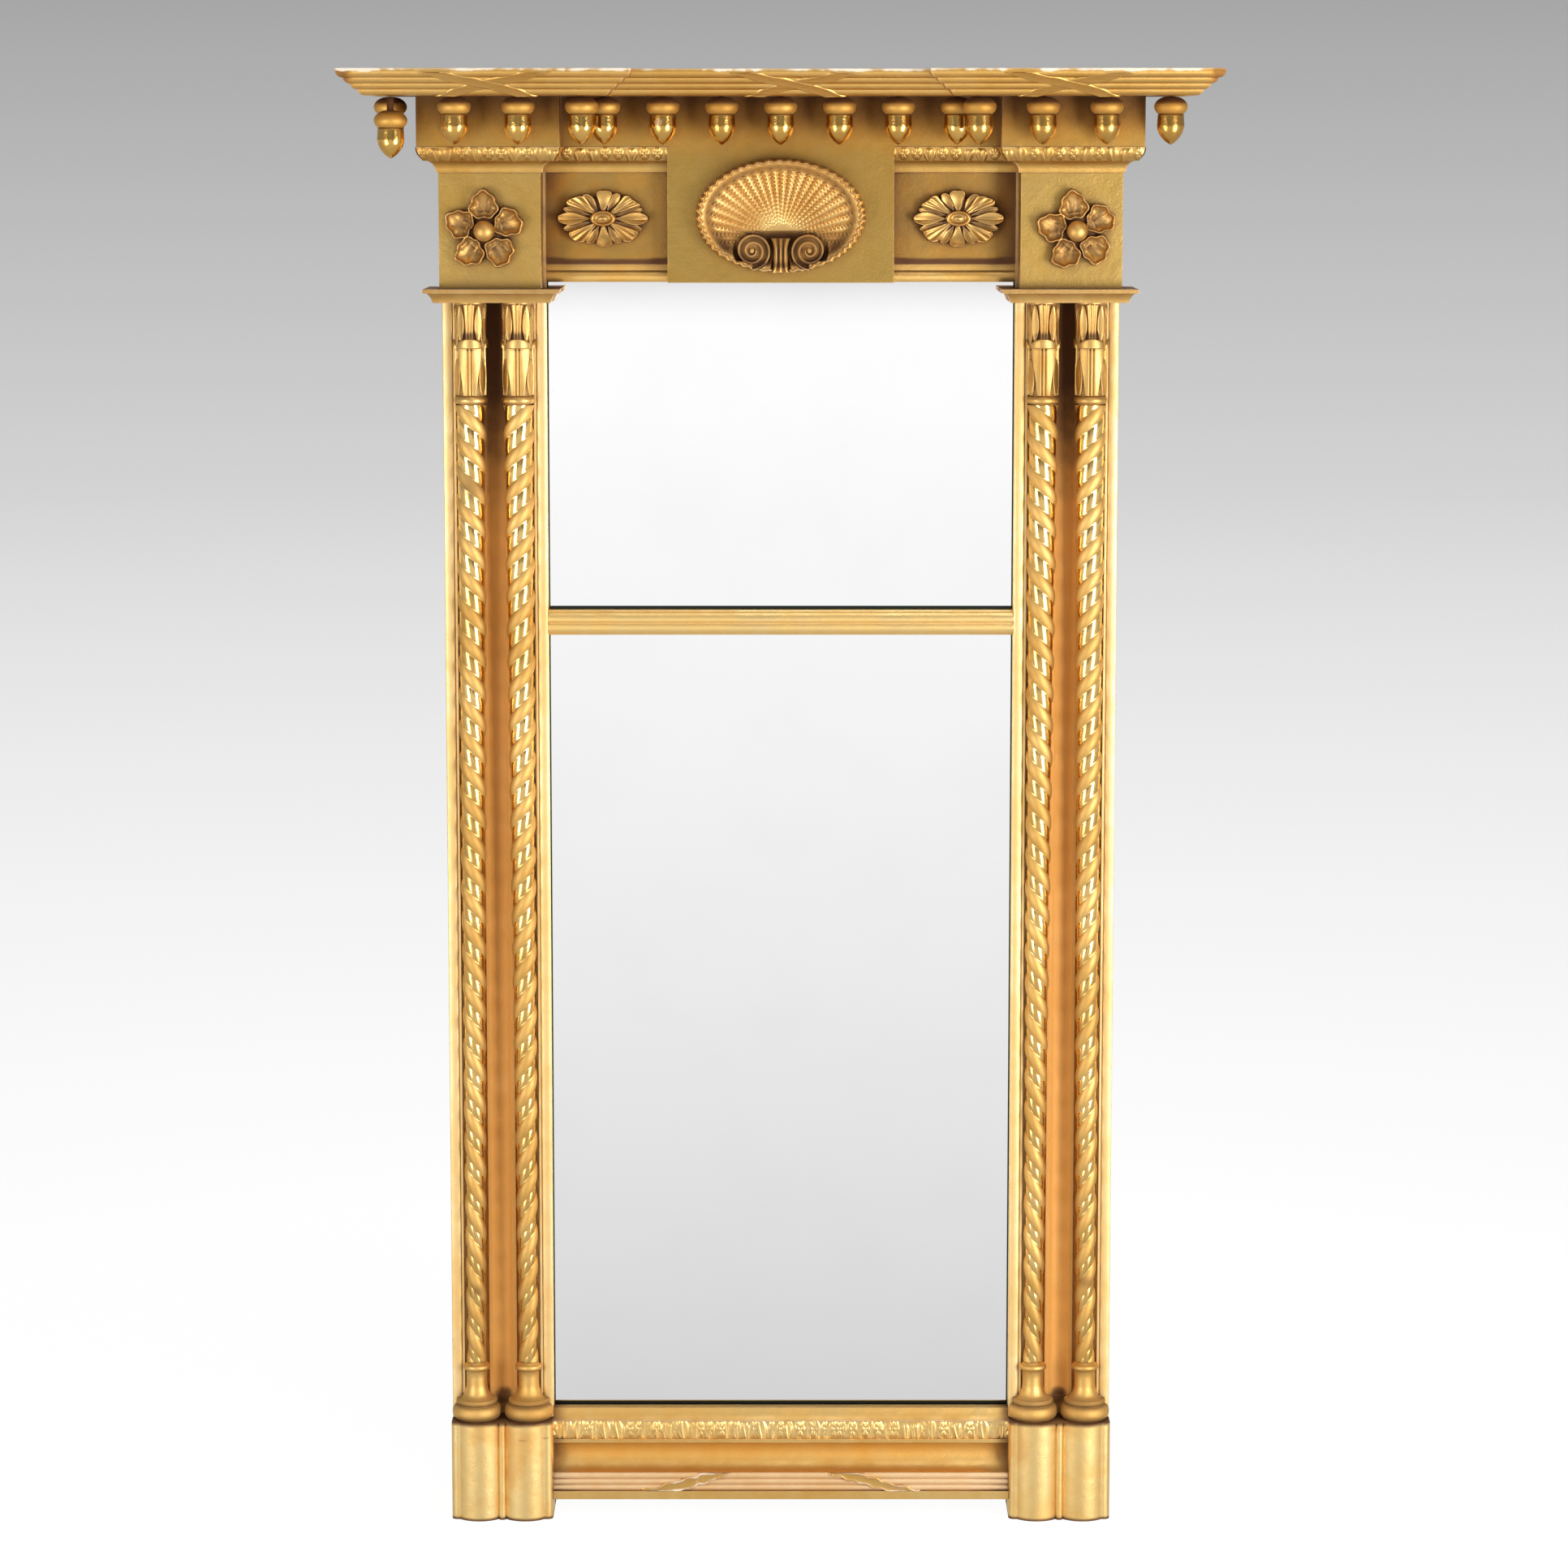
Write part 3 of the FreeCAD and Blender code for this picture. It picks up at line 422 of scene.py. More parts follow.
hanger_brass = plain_metal("hanger_brass", (0.62, 0.42, 0.14, 1), (0.30, 0.19, 0.07, 1), 0.28)
screw_iron = plain_metal("screw_iron", (0.30, 0.28, 0.26, 1), (0.12, 0.07, 0.045, 1), 0.38)
dress(hanger_brass, "hanger_plates")
hanger_low, hanger_high = node_box("hanger_plates")
screws = []
for side in (-1, 1):
    screw_x = side * (hanger_high[0] - screw_aside)
    for screw_z, turn in ((hanger_low[2] + screw_inset, 0.5), (hanger_high[2] - screw_inset, 2.1)):
        screws.append(screw_head(screw_x, hanger_high[1] - plate_sunk, screw_z, turn + side))
add_piece("hanger_screws", screws, screw_iron, "hanger_brass")


# Stile edges: a low bead and a fine fillet built up in gesso along both edges of each stile.
# They are gilded with it and rubbed pale, and the groove between them is painted darker.
bead_width, bead_rise = 6.9, 1.0
fillet_start, fillet_end, fillet_rise = 7.6, 9.1, 0.55
edge_width = 9.4
out_of_sight = -1.0
gilt_edge = gilding(
    "gilt_edge", (0.86, 0.62, 0.29), (0.74, 0.48, 0.175), gloss=0.42, grime=0.3, rub=0.3,
    soften=0.0004, leaf=0.7)


def unit(values):
    """The values, kept between 0 and 1."""
    return np.clip(values, 0, 1)


def dome(part):
    """A half-round: 1 where part is 0, and 0 where it reaches 1 on either side."""
    return np.sqrt(unit(1 - part ** 2))


def edge_strip(edge_x, inward, front):
    """One edge: the strip starts at edge_x, and inward is the side on which the stile lies."""
    reach, level = grid((0, edge_width), 95, (plinth_top / mm, frieze_foot / mm), 4)
    bead = 0.2 + bead_rise * dome(2 * reach / bead_width - 1)
    lift = np.where(reach < bead_width, bead, 0.08)
    on_fillet = (reach > fillet_start) & (reach < fillet_end)
    lift = np.where(on_fillet, fillet_rise, lift)
    # The low groove between bead and fillet is painted darker.
    soot = np.where(lift < 0.3, 0.45, 0.0)
    lift[[0, -1]] = out_of_sight
    return carved(reach, level, lift, lambda u, v, h: (edge_x + inward * u, front - h, v),
                  soot=soot)


edge_strips = []
for name in ("left_stile", "right_stile"):
    low, high = node_box(name)
    edge_strips.append(edge_strip(low[0], 1, low[1]))
    edge_strips.append(edge_strip(high[0], -1, low[1]))
add_piece("stile_edges", edge_strips, gilt_edge, "gilt_flat")


# Mirror plates: two old plates, silvered at the back, set in the rebates.
# The silver has greyed a little, and a dark line along the sight edges is painted shadow of the
# rebate, seen through the glass.
silver = (0.985, 0.988, 0.986, 1)
silver_grey = (0.95, 0.955, 0.95, 1)
# The colour of the painted shadow line along the sight edges.
painted_rebate_shadow = (0.035, 0.045, 0.042, 1)
sight_half = 0.164
side_line = 0.0009
foot_line = 0.0022
line_fade = 0.0003
foxed_band = 0.02


def plate_finish(name, sight_bottom):
    """Silvered glass whose sight starts at a height."""
    finish, shade = new_finish(name)
    place = shade.place()
    cloud = place.noise(16.0, 4.0)
    spots = place.noise(420.0, 2.0)
    aside = place.part_of("X").size()
    # Painted shadow of the rebate: a dark line along the sides and the foot of the sight.
    side = aside.between(sight_half - side_line - line_fade, sight_half - side_line)
    up = place.part_of("Z") - sight_bottom
    lost_leaf_and_shadow_line = side.or_more(1 - up.between(foot_line, foot_line + line_fade))
    near = aside.between(sight_half - foxed_band, sight_half)
    fox = (spots + 0.12 * near).between(0.80, 0.86)
    colour = (0.5 * cloud.between(0.4, 0.75)).blend(silver, silver_grey)
    colour = (0.5 * fox).blend(colour, silver_grey)
    colour = lost_leaf_and_shadow_line.blend(colour, painted_rebate_shadow)
    close_finish(shade, {"Base Color": colour, "Metallic": 1.0,
                         "Roughness": 0.01 + 0.008 * cloud + 0.1 * fox + 0.3 * lost_leaf_and_shadow_line})
    return finish


dress(plate_finish("plate_lower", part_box("base_moulding")[1].z), "lower_glass")
dress(plate_finish("plate_upper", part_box("divider_bar")[1].z), "upper_glass")


# Divider bar: the rounded bar between the plates, with a fine groove along its front.
# Its tongue lies between the plates, its ends butt on the stiles, and it is burnished.
gilt_burnished = gilding(
    "gilt_burnished", (0.93, 0.66, 0.28), (0.84, 0.55, 0.19), grime=0.3, reach=0.008,
    soften=0.0005)
dress(gilt_burnished, "divider_bar")


# Plinths: the two blocks under the columns, each with two lobes and a reed between them.
# They are carved from solid wood, gessoed and gilded, and rubbed bright by cloths.
plinth_scratches = ((-0.1848, 0.0597, 0.0045, 0.0010), (-0.1685, 0.0600, 0.0030, 0.0012))


def plinth_varnish(place):
    """Warm patches, dirt along the top and the foot, and two short scratches on the left."""
    x, level = place.part_of("X"), place.part_of("Z")
    soot = 0.6 * level.between(plinth_top - 0.004, plinth_top)
    soot = soot + 0.55 * (1 - level.between(0.0005, 0.0035))
    for scratch_x, scratch_z, half_width, half_height in plinth_scratches:
        across = (x - scratch_x) / half_width
        up = (level - scratch_z) / half_height
        soot = soot + 0.4 * (1 - (across * across + up * up).between(0.3, 1.0))
    return 0.4 * place.noise(28.0, 4.0).between(0.5, 0.66), soot


gilt_plinth = gilding(
    "gilt_plinth", (0.94, 0.68, 0.29), (0.80, 0.51, 0.17), gloss=0.40, grime=0.35, reach=0.010,
    soften=0.0007, varnish_and_shade=plinth_varnish)
dress(gilt_plinth, "left_plinth", "right_plinth")


# Base moulding: a fillet, three reeds bound with ribbon, a deep cove, a band of leaves
# and a sight cove, in one length glued to the bottom rail. The leaf band is moulded ornament.
moulding_wear = dict(gloss=0.38, grime=0.7, reach=0.014, rub=0.3, soften=0.0005)
gilt_moulding = gilding("gilt_moulding", (0.65, 0.40, 0.12), (0.50, 0.27, 0.06), **moulding_wear)
gilt_ornament = gilding(
    "gilt_ornament", (0.74, 0.47, 0.16), (0.50, 0.265, 0.065), grime=1.0, reach=0.0045,
    tooth=0.00008)
gilt_leaves = gilding(
    "gilt_leaves", (0.90, 0.63, 0.26), (0.78, 0.49, 0.16), gloss=0.30, reach=0.003)
cove_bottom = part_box("base_reed_strip")[1].z
cove_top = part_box("base_leaf_band")[0].z - 0.0027
cove_ends = (0.130, 0.172)


def cove_shade_and_ends(place):
    """Painted warm shade that deepens up the cove under the leaf band, and a darker tone at its
    ends beside the plinths.
    """
    level = place.part_of("Z")
    # Painted shade: the cove turns deeper orange towards its top, under the leaf band.
    up = level.between(cove_bottom, cove_top - 0.003)
    up = up * (1 - level.between(cove_top - 0.0004, cove_top))
    return 0.7 * up, 0.42 * place.part_of("X").size().between(*cove_ends)


gilt_base = gilding(
    "gilt_base", (0.86, 0.57, 0.205), (0.68, 0.39, 0.105), gloss=0.36, grime=0.6, reach=0.012,
    rub=0.35, soften=0.0005, varnish_and_shade=cove_shade_and_ends)
gilt_reeds = gilding(
    "gilt_reeds", (0.80, 0.55, 0.30), (0.66, 0.41, 0.185), gloss=0.42, reach=0.008, rub=0.5,
    soften=0.0003, varnish_and_shade=cove_shade_and_ends, leaf=0.6)
dress(gilt_base, "base_moulding")
dress(gilt_reeds, "base_reed_strip")


def bell(values, middle, width):
    """A hump that is 1 at the middle and fades to both sides."""
    return np.exp(-((values - middle) / width) ** 2)


def leaf_row(reach, climb, pitch, seed):
    """Heights from 0 to 1 of a row of small leaves and round buds; reach runs along the row
    in millimetres and climb from 0 at the foot to 1 at the tips. No two are quite alike."""
    kinds = 400
    chance = np.random.default_rng(seed)
    slant = chance.uniform(-0.5, 0.5, kinds)
    grow = chance.uniform(0.75, 1.1, kinds)
    rise = chance.uniform(0.45, 1.0, kinds)
    bud = chance.random(kinds) < 0.45
    number = np.floor(reach / pitch).astype(int)
    pick = number % kinds
    side = 2 * (reach / pitch - number) - 1
    lean = side + slant[pick] * (climb - 0.4)
    width = (0.25 + 0.75 * np.sin(np.pi * unit(0.1 + 0.8 * climb))) * grow[pick]
    leaf = dome(lean / width) * unit((grow[pick] - climb) / 0.2) ** 0.5
    veins = 0.5 + 0.5 * np.cos(np.arctan2(lean * 0.6, climb + 0.3) * 11.0 + slant[pick] * 6)
    leaf = leaf * (0.55 + 0.45 * veins)
    middle = 0.52
    round_part = np.hypot(side / 0.8, (climb - middle) / 0.46)
    petals = 0.75 + 0.25 * np.cos(6 * np.arctan2(climb - middle, side))
    flower = dome(round_part) * petals - 0.4 * bell(round_part, 0, 0.25)
    return rise[pick] * unit(np.where(bud[pick], flower, leaf))


band_low, band_high = node_box("base_leaf_band")
band_pitch = 9.4
reach, climb = grid((band_low[0], band_high[0]), 1150, (0, 1), 34)
band_leaves = np.maximum(leaf_row(reach, climb, band_pitch, 5),
                         0.8 * leaf_row(reach + 3.1, climb, 0.68 * band_pitch, 8))
band_lift = 0.5 + 1.25 * band_leaves
band_face = band_high[1] - 0.1


def on_band(across, up, lift):
    return across, band_face - lift, band_low[2] + up * (band_high[2] - band_low[2])


add_piece("base_leaves", [carved(reach, climb, band_lift, on_band)], gilt_leaves,
          "gilt_ornament", "base_leaf_band")


def ribbon(points, width, thickness, place, chips, ragged, seed):
    """A flat band with rolled edges that follows points (along, up) on a moulding. chips is
    the share of its leaf that is lost, and ragged the share of its width that has gone."""
    count = 16
    chance = np.random.default_rng(seed)
    knots = np.linspace(0, 1, count)
    centre = np.array(points, float)
    share = np.linspace(0, 1, 40)
    stations = np.linspace(0, 1, len(centre))
    line = np.stack([np.interp(share, stations, centre[:, 0]),
                     np.interp(share, stations, centre[:, 1])], -1)
    for _ in range(6):
        line[1:-1] = (line[:-2] + 2 * line[1:-1] + line[2:]) / 4
    course = np.gradient(line, axis=0)
    course /= np.linalg.norm(course, axis=1, keepdims=True)
    side = np.stack([-course[:, 1], course[:, 0]], -1)
    offset = np.linspace(-1, 1, 15)
    half = width / 2 * (1 - ragged * np.interp(share, knots, chance.random(count)))
    lost_leaf_and_shadow_line = np.interp(share, knots, chance.uniform(0.6, 1.2, count))
    lost_leaf_and_shadow_line = chips * np.sin(np.pi * share) ** 0.4 * lost_leaf_and_shadow_line
    spots = line[:, None, :] + side[:, None, :] * (offset[None, :, None] * half[:, None, None])
    roll = thickness * (0.62 + 0.5 * np.abs(offset) ** 3)
    lift = np.repeat(roll[None, :], len(line), axis=0)
    lift[:, [0, -1]] = out_of_sight
    lift[[0, -1]] = out_of_sight
    return carved(spots[..., 0], spots[..., 1], lift, place, chip=lost_leaf_and_shadow_line[:, None])


reed_low, reed_high = node_box("base_reed_strip")
gilt_binding = gilding(
    "gilt_binding", (0.78, 0.48, 0.16), (0.60, 0.34, 0.085), gloss=0.36, grime=0.3, rub=0.8,
    soften=0.0004)


def on_reeds(along, up, lift):
    level = np.clip(reed_low[2] + up, reed_low[2], reed_high[2])
    return along, reed_low[1] + 0.6 - lift, level


left_course = [(-100, -3), (-82, 1), (-62, 7), (-48, 12), (-36, 15)]
right_course = [(34, 15), (52, 11), (70, 5), (88, 0), (100, -3)]
binding_width, binding_thickness = 11.5, 1.6
base_ribbons = []
for course, chips, seed in ((left_course, 0.42, 3), (right_course, 0.30, 4)):
    base_ribbons.append(ribbon(course, binding_width, binding_thickness, on_reeds, chips=chips,
                               ragged=0.6, seed=seed))
add_piece("base_ribbons", base_ribbons, gilt_binding, "gilt_flat")


# Column feet: a broad torus, a ring, a flare and a drum with a bead, turned from one piece
# and cut flat at the back against the stile. Dust has settled between them.
def round_shape(middle, radius, angle, level, **traits):
    """A shape about an upright axis at middle (x, y), from grids of radius, angle and height."""
    points = np.stack(np.broadcast_arrays(middle[0] + radius * np.cos(angle),
                                          middle[1] + radius * np.sin(angle), level), -1)
    shape = points.shape[:2]
    kept = {name: np.broadcast_to(values, shape).ravel() for name, values in traits.items()}
    return points.reshape(-1, 3), grid_faces(*shape), kept


def turned(profile, centre, sides, **traits):
    """A turned shape from points (radius, height), with traits by height."""
    radius, height = np.array(profile, float).T[..., None]
    angle = np.linspace(0, 2 * np.pi, sides + 1)
    traits = {name: np.reshape(values, (-1, 1)) for name, values in traits.items()}
    return round_shape(centre, radius, angle, height + centre[2], **traits)


def bulge(root, rise, bottom, top, count=9):
    """Points of a half-round swelling between two heights."""
    angle = np.linspace(-np.pi / 2, np.pi / 2, count)
    middle, half = (bottom + top) / 2, (top - bottom) / 2
    return [(root + rise * math.cos(a), middle + half * math.sin(a)) for a in angle]


def hollow(start, end, sag):
    """Points of a curve from start to end that sags towards the axis."""
    return [(start[0] + (end[0] - start[0]) * s ** sag, start[1] + (end[1] - start[1]) * s)
            for s in np.linspace(0, 1, 9)]


gilt_turned = gilding(
    "gilt_turned", (0.82, 0.53, 0.185), (0.62, 0.35, 0.09), gloss=0.36, reach=0.010, rub=0.3)
stile_face = 39.25
column_places = {}
for name in ("left_outer", "left_inner", "right_inner", "right_outer"):
    low, high = node_box(name + "_shaft")
    column_places[name] = (low[0] + high[0]) / 2
column_y = (low[1] + high[1]) / 2

foot_profile = [(0.0, 0.0), (14.8, 0.0)]
foot_profile += bulge(14.6, 3.1, 0.2, 10.2, 13)
foot_profile += [(14.5, 10.3), (14.4, 10.7)] + bulge(13.7, 1.1, 10.9, 14.8)
foot_profile += [(12.2, 15.1), (12.0, 15.5)]
foot_profile += hollow((11.6, 15.7), (7.6, 23.0), 0.5)
foot_profile += [(7.5, 25.0), (7.4, 30.0), (7.6, 35.2)]
foot_profile += bulge(7.9, 2.0, 35.6, 40.0) + [(7.4, 40.8), (6.2, 41.6)]
ring_height, neck_height, dust_top = 13.0, 35.0, 19.0
heights = np.array(foot_profile)[:, 1]
foot_soot = 0.42 * bell(heights, ring_height, 7.0) + 0.3 * bell(heights, neck_height, 3.0)
foot_dust = 0.25 + 0.3 * unit((dust_top - heights) / 5.0)
for name, column_x in column_places.items():
    base = node_box(name + "_foot")[0][2]
    points, faces, kept = turned(foot_profile, (column_x, column_y, base), 56,
                                 matte=foot_dust, soot=foot_soot)
    points[:, 1] = np.minimum(points[:, 1], stile_face - 0.05)
    add_piece(name + "_foot_turned", [(points, faces, kept)], gilt_turned, "gilt_ornament",
              name + "_foot")


# Column shafts: two matte cables wound round each with burnished strands between them,
# thinner at the foot. The twists of a pair are mirrored, and its shafts lean together a little.
cable_repeat = 22.9
cable_rise = 1.5
strand_foot, strand_head = 0.35, 0.30
lean_in = 2.0
pair_side = {"left_outer": -1, "left_inner": 1, "right_inner": -1, "right_outer": 1}
chip_place, chip_reach = (221.7, 676.0), 4.0
core_bottom, core_top = 5.5, 9.5
gilt_rope = gilding(
    "gilt_rope", (0.88, 0.59, 0.22), (0.60, 0.35, 0.095), gloss=0.13, reach=0.005, rub=0.4,
    soften=0.0001, tooth=0.00003)
soot_spots = {"left_outer": ((742.0, 17.0), (165.0, 7.0)), "right_outer": ((172.0, 7.0),)}

for name, column_x in column_places.items():
    low, high = node_box(name + "_shaft")
    hand = pair_side[name]
    phase, level = grid((0, 2), 73, (low[2], high[2]), 560)
    share = (level - low[2]) / (high[2] - low[2])
    angle = np.pi * (phase + hand * level / cable_repeat)
    across = 2 * np.abs(phase - np.round(phase))
    wide = 0.62 - 0.16 * share
    cable = cable_rise * unit(1 - (across / wide) ** 2) ** 0.8
    strand = strand_foot + (strand_head - strand_foot) * share
    strand = strand * unit(1 - ((1 - across) / (1 - wide)) ** 2)
    radius = core_bottom + (core_top - core_bottom) * share + np.where(across < wide, cable, strand)
    middle = column_x - hand * lean_in * share
    aside = middle + radius * np.cos(angle) - chip_place[0]
    chip = 0.6 * np.exp(-np.hypot(aside, level - chip_place[1]) / chip_reach)
    chip = np.where(np.sin(angle) < 0, chip, 0)
    matte = unit((wide + 0.03 - across) / 0.06)
    soot = np.zeros_like(level)
    for spot, reach in soot_spots.get(name, ()):
        soot = soot + 0.45 * bell(level, spot, reach) * unit(-np.sin(angle))
    rope = round_shape((middle, column_y), radius, angle, level, matte=matte, soot=soot, chip=chip)
    add_piece(name + "_shaft_rope", [rope], gilt_rope, "gilt_burnished", name + "_shaft")


# Capitals: an astragal and two tiers of carved leaves round a bell, one piece with it.
# The leaves curl over at their tips, and their folds are painted dark, as shade with some brown
# grime.
lower_root, hood_top, upper_root = 6.2, 46.4, 43.0
ring_middle, ring_half = 3.4, 2.6
lip_height = 1.6


def soft_edge(part, width):
    """1 inside, with a quick round fall to 0 where part reaches 1."""
    return unit((1 - part) / width) ** 0.5


def lens_leaf(side, centre, half, share):
    """A pointed leaf with raised edges; share runs from its foot to its tip."""
    width = half * np.sin(np.pi * unit(share)) ** 0.75 + 1e-4
    part = np.abs(side - centre) / width
    inside = (share > 0) & (share < 1) & (part < 1)
    return np.where(inside, (1.5 + 0.7 * part ** 2) * soft_edge(part, 0.18), 0)


def capital_height(turn, climb):
    """Height of the leaves over the bell; turn is the angle from the middle of a leaf. A
    hooded leaf stands below, and above it a ribbed stem between two pointed leaves."""
    side = np.abs(turn)
    upper = (climb - upper_root) / 27.0
    half = 0.26 + 0.16 * unit(upper) ** 2
    stem = (1.9 + 0.5 * np.cos(turn / half * np.pi * 3)) * (side < half) * (upper > 0)
    lift = np.maximum(stem, lens_leaf(side, 0.62, 0.30, upper))
    lift = np.maximum(lift, lens_leaf(side, 1.05, 0.24, (climb - 40.0) / 24.0))
    lift = np.maximum(lift, lens_leaf(side, 1.00, 0.36, (climb - lower_root) / 26.0))
    drop = unit((46.5 - climb) / 40.0)
    half = np.interp(drop, (0.0, 0.13, 0.36, 0.62, 1.0), (0.95, 0.95, 0.90, 0.66, 0.44))
    half = half * dome(1 - unit(drop / 0.13)) + 1e-4
    part = side / half
    edge = soft_edge(part, 0.12)
    groove = 1.2 * bell(side, 0.12, 0.045)
    leaf = (1.7 + 0.9 * part ** 2 - groove) * edge
    hood = (3.5 - 0.9 * part ** 2) * edge
    lower = np.where(drop < 0.17, hood, leaf)
    in_leaf = (climb > lower_root) & (climb < hood_top) & (part < 1)
    return np.where(in_leaf, np.maximum(lower, 0.9 * lift), lift)


gilt_capital = gilding(
    "gilt_capital", (0.71, 0.46, 0.167), (0.52, 0.295, 0.082), gloss=0.41, grime=0.6, rub=0.15,
    tooth=0.00008)
leaf_turn = 2 * np.pi / 3
for name, column_x in column_places.items():
    low, high = node_box(name + "_capital")
    tall = high[2] - low[2]
    round_share, climb = grid((-1, 1), 201, (0, tall), 190)
    angle = np.pi * (0.62 * round_share + 0.38 * round_share ** 3) - np.pi / 2
    turn = (angle + np.pi / 2 + leaf_turn / 2) % leaf_turn - leaf_turn / 2
    leaves = capital_height(turn, climb)
    radius = 8.9 + 0.8 * (climb / tall) ** 3 + leaves
    ring = np.abs(climb - ring_middle) / ring_half
    radius = np.where(ring < 1, 9.9 + 1.9 * dome(ring), radius)
    radius = np.where(climb < 0.8, 9.6, radius)
    radius = np.where((climb > 6.0) & (climb < 6.7), np.minimum(radius, 9.2), radius)
    lip = climb > tall - lip_height
    radius = np.where(lip, 11.0, np.minimum(radius, 12.5))
    # Painted shade with some brown grime: dark bands above and under the hood, in the gaps between
    # the leaves, and a line at the foot.
    soot = 0.5 * bell(climb, 48.6, 2.6) * np.exp(-(turn / 0.8) ** 4)
    for height, reach, share in ((44.6, 1.8, 0.15), (38.8, 0.9, 0.25), (0.3, 0.8, 0.4)):
        soot = soot + share * bell(climb, height, reach)
    soot = soot + 0.3 * (leaves < 0.4) * (climb > 6) * ~lip
    middle = (column_x - pair_side[name] * lean_in, column_y)
    bell_shape = round_shape(middle, radius, angle, low[2] + climb, matte=0.0, soot=soot)
    add_piece(name + "_capital_leaves", [bell_shape], gilt_capital, "gilt_ornament",
              name + "_capital")


# Abaci, corner blocks, upper blocks, panels, architraves and tablet: the flat parts of the
# frieze, built out from the top rail in blocks. They are water gilded and left matte.
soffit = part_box("left_upper_block")[1].z
# Heights over which painted shade deepens up to the soffit.
soffit_shade_from, soffit_shade_to = soffit - 0.048, soffit - 0.012


def soffit_shade(place):
    """Painted shade, warm and dark, that deepens towards the soffit behind the acorns."""
    high_up = place.part_of("Z").between(soffit_shade_from, soffit_shade_to)
    return 0.5 * high_up, 0.12 * high_up


# The grime of the flat parts and of the abaci reaches far into corners and under the blocks, so it
# paints shade as well as grime.
flat_wear_and_shade = dict(grime=0.95, reach=0.025, rub=0.35, soften=0.0005)
gilt_frieze = gilding(
    "gilt_frieze", (0.54, 0.34, 0.09), (0.41, 0.235, 0.052), **flat_wear_and_shade, varnish_and_shade=soffit_shade)
gilt_block = gilding("gilt_block", (0.64, 0.415, 0.125), (0.48, 0.29, 0.07), **flat_wear_and_shade)
gilt_architrave = gilding(
    "gilt_architrave", (0.90, 0.58, 0.20), (0.70, 0.40, 0.10), **moulding_wear)
gilt_abacus = gilding(
    "gilt_abacus", (0.70, 0.43, 0.14), (0.44, 0.23, 0.055), grime=1.6, reach=0.03, rub=1.0,
    soften=0.0005)
panel_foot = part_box("left_frieze_panel")[0].z
panel_side = -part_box("left_corner_block")[1].x


def panel_shade_and_toning(place):
    """Amber patches, stronger beside the corner block, where painted shade with grime darkens the
    corner, a painted shadow line along the foot of the panel, and painted shade over the right
    panel."""
    beside = place.part_of("X").size().between(panel_side - 0.022, panel_side)
    foot = 1 - place.part_of("Z").between(panel_foot + 0.002, panel_foot + 0.006)
    patches = place.noise(60.0, 4.0).between(0.35, 0.65)
    right = place.part_of("X").between(0.0, 0.01)
    # Painted shadow along the foot, and painted shade beside the block and over the right panel.
    return 0.25 * patches + 0.5 * beside * patches, 0.75 * foot + 0.2 * beside + 0.13 * right


gilt_panel = gilding(
    "gilt_panel", (0.52, 0.31, 0.085), (0.40, 0.22, 0.052), **flat_wear_and_shade, varnish_and_shade=panel_shade_and_toning)
dress(gilt_frieze, "left_upper_block", "right_upper_block", "frieze_tablet")
dress(gilt_block, "left_corner_block", "right_corner_block")
dress(gilt_panel, "left_frieze_panel", "right_frieze_panel")
dress(gilt_abacus, "left_abacus", "right_abacus")
dress(gilt_architrave, "left_architrave", "right_architrave")


# Bed mouldings: a cove and a swelling band under the upper frieze, mitred round the blocks.
# Small upright leaves of moulded ornament are glued along the band.
dress(gilt_moulding, "left_bed_moulding", "right_bed_moulding", "left_panel_moulding",
      "right_panel_moulding")
gilt_bed = gilding(
    "gilt_bed", (0.63, 0.395, 0.13), (0.44, 0.23, 0.056), gloss=0.37, grime=0.9, reach=0.0045,
    tooth=0.00008)
bed_top = node_box("left_bed_moulding")[1][2]
leaf_foot = (9.4, bed_top - 9.4)
leaf_head = (14.1, bed_top)
bed_pitch = 9.0


def bed_leaves(start, end, outward, ends, seed):
    """A run of leaves along one length. start and end (x, y) lie on the face of the block,
    outward points away from it, and ends tell how each end is mitred: 1 out, -1 in, 0 square."""
    start, end = np.array(start, float), np.array(end, float)
    length = np.linalg.norm(end - start)
    course = (end - start) / length
    reach, climb = grid((0, 1), int(length * 3), (0, 1), 26)
    out = leaf_foot[0] + (leaf_head[0] - leaf_foot[0]) * climb + 0.9 * np.sin(np.pi * climb)
    first = -ends[0] * out
    last = length + ends[1] * out
    along = first + (last - first) * reach
    lift = 0.45 + 1.5 * leaf_row(along + 50, climb, bed_pitch, seed)

    def place(along, climb, lift):
        forward = out + 0.85 * lift
        drop = 0.4 * np.maximum(lift, 0) + 0.2
        x = start[0] + course[0] * along + outward[0] * forward
        y = start[1] + course[1] * along + outward[1] * forward
        z = leaf_foot[1] + (leaf_head[1] - leaf_foot[1]) * climb - drop
        return x, y, z

    return carved(along, climb, lift, place)


block_low, block_high = node_box("left_corner_block")
panel_low, panel_high = node_box("left_frieze_panel")
wall_y = node_box("left_bed_moulding")[1][1]
for side, name in ((-1, "left"), (1, "right")):
    outer_x, inner_x = -side * block_low[0], -side * block_high[0]
    front_y, panel_y = block_low[1], panel_low[1]
    tablet_x = -side * panel_high[0]
    runs = [bed_leaves((outer_x, front_y), (inner_x, front_y), (0, -1), (1, 1), 11),
            bed_leaves((outer_x, wall_y), (outer_x, front_y), (side, 0), (0, 1), 13),
            bed_leaves((inner_x, front_y), (inner_x, panel_y), (-side, 0), (1, -1), 17),
            bed_leaves((inner_x, panel_y), (tablet_x, panel_y), (0, -1), (-1, 0), 19)]
    add_piece(name + "_bed_leaves", runs, gilt_bed, "gilt_ornament")


# Rosettes: five cupped petals with curled rims round a ball, carved in limewood.
# They are glued to the corner blocks, each turned its own way.
rosette_turns = {"left": 91.0, "right": 99.0}
rosette_x, rosette_z = 205.0, 921.5
petal_out = 17.5
ball_radius = 7.3


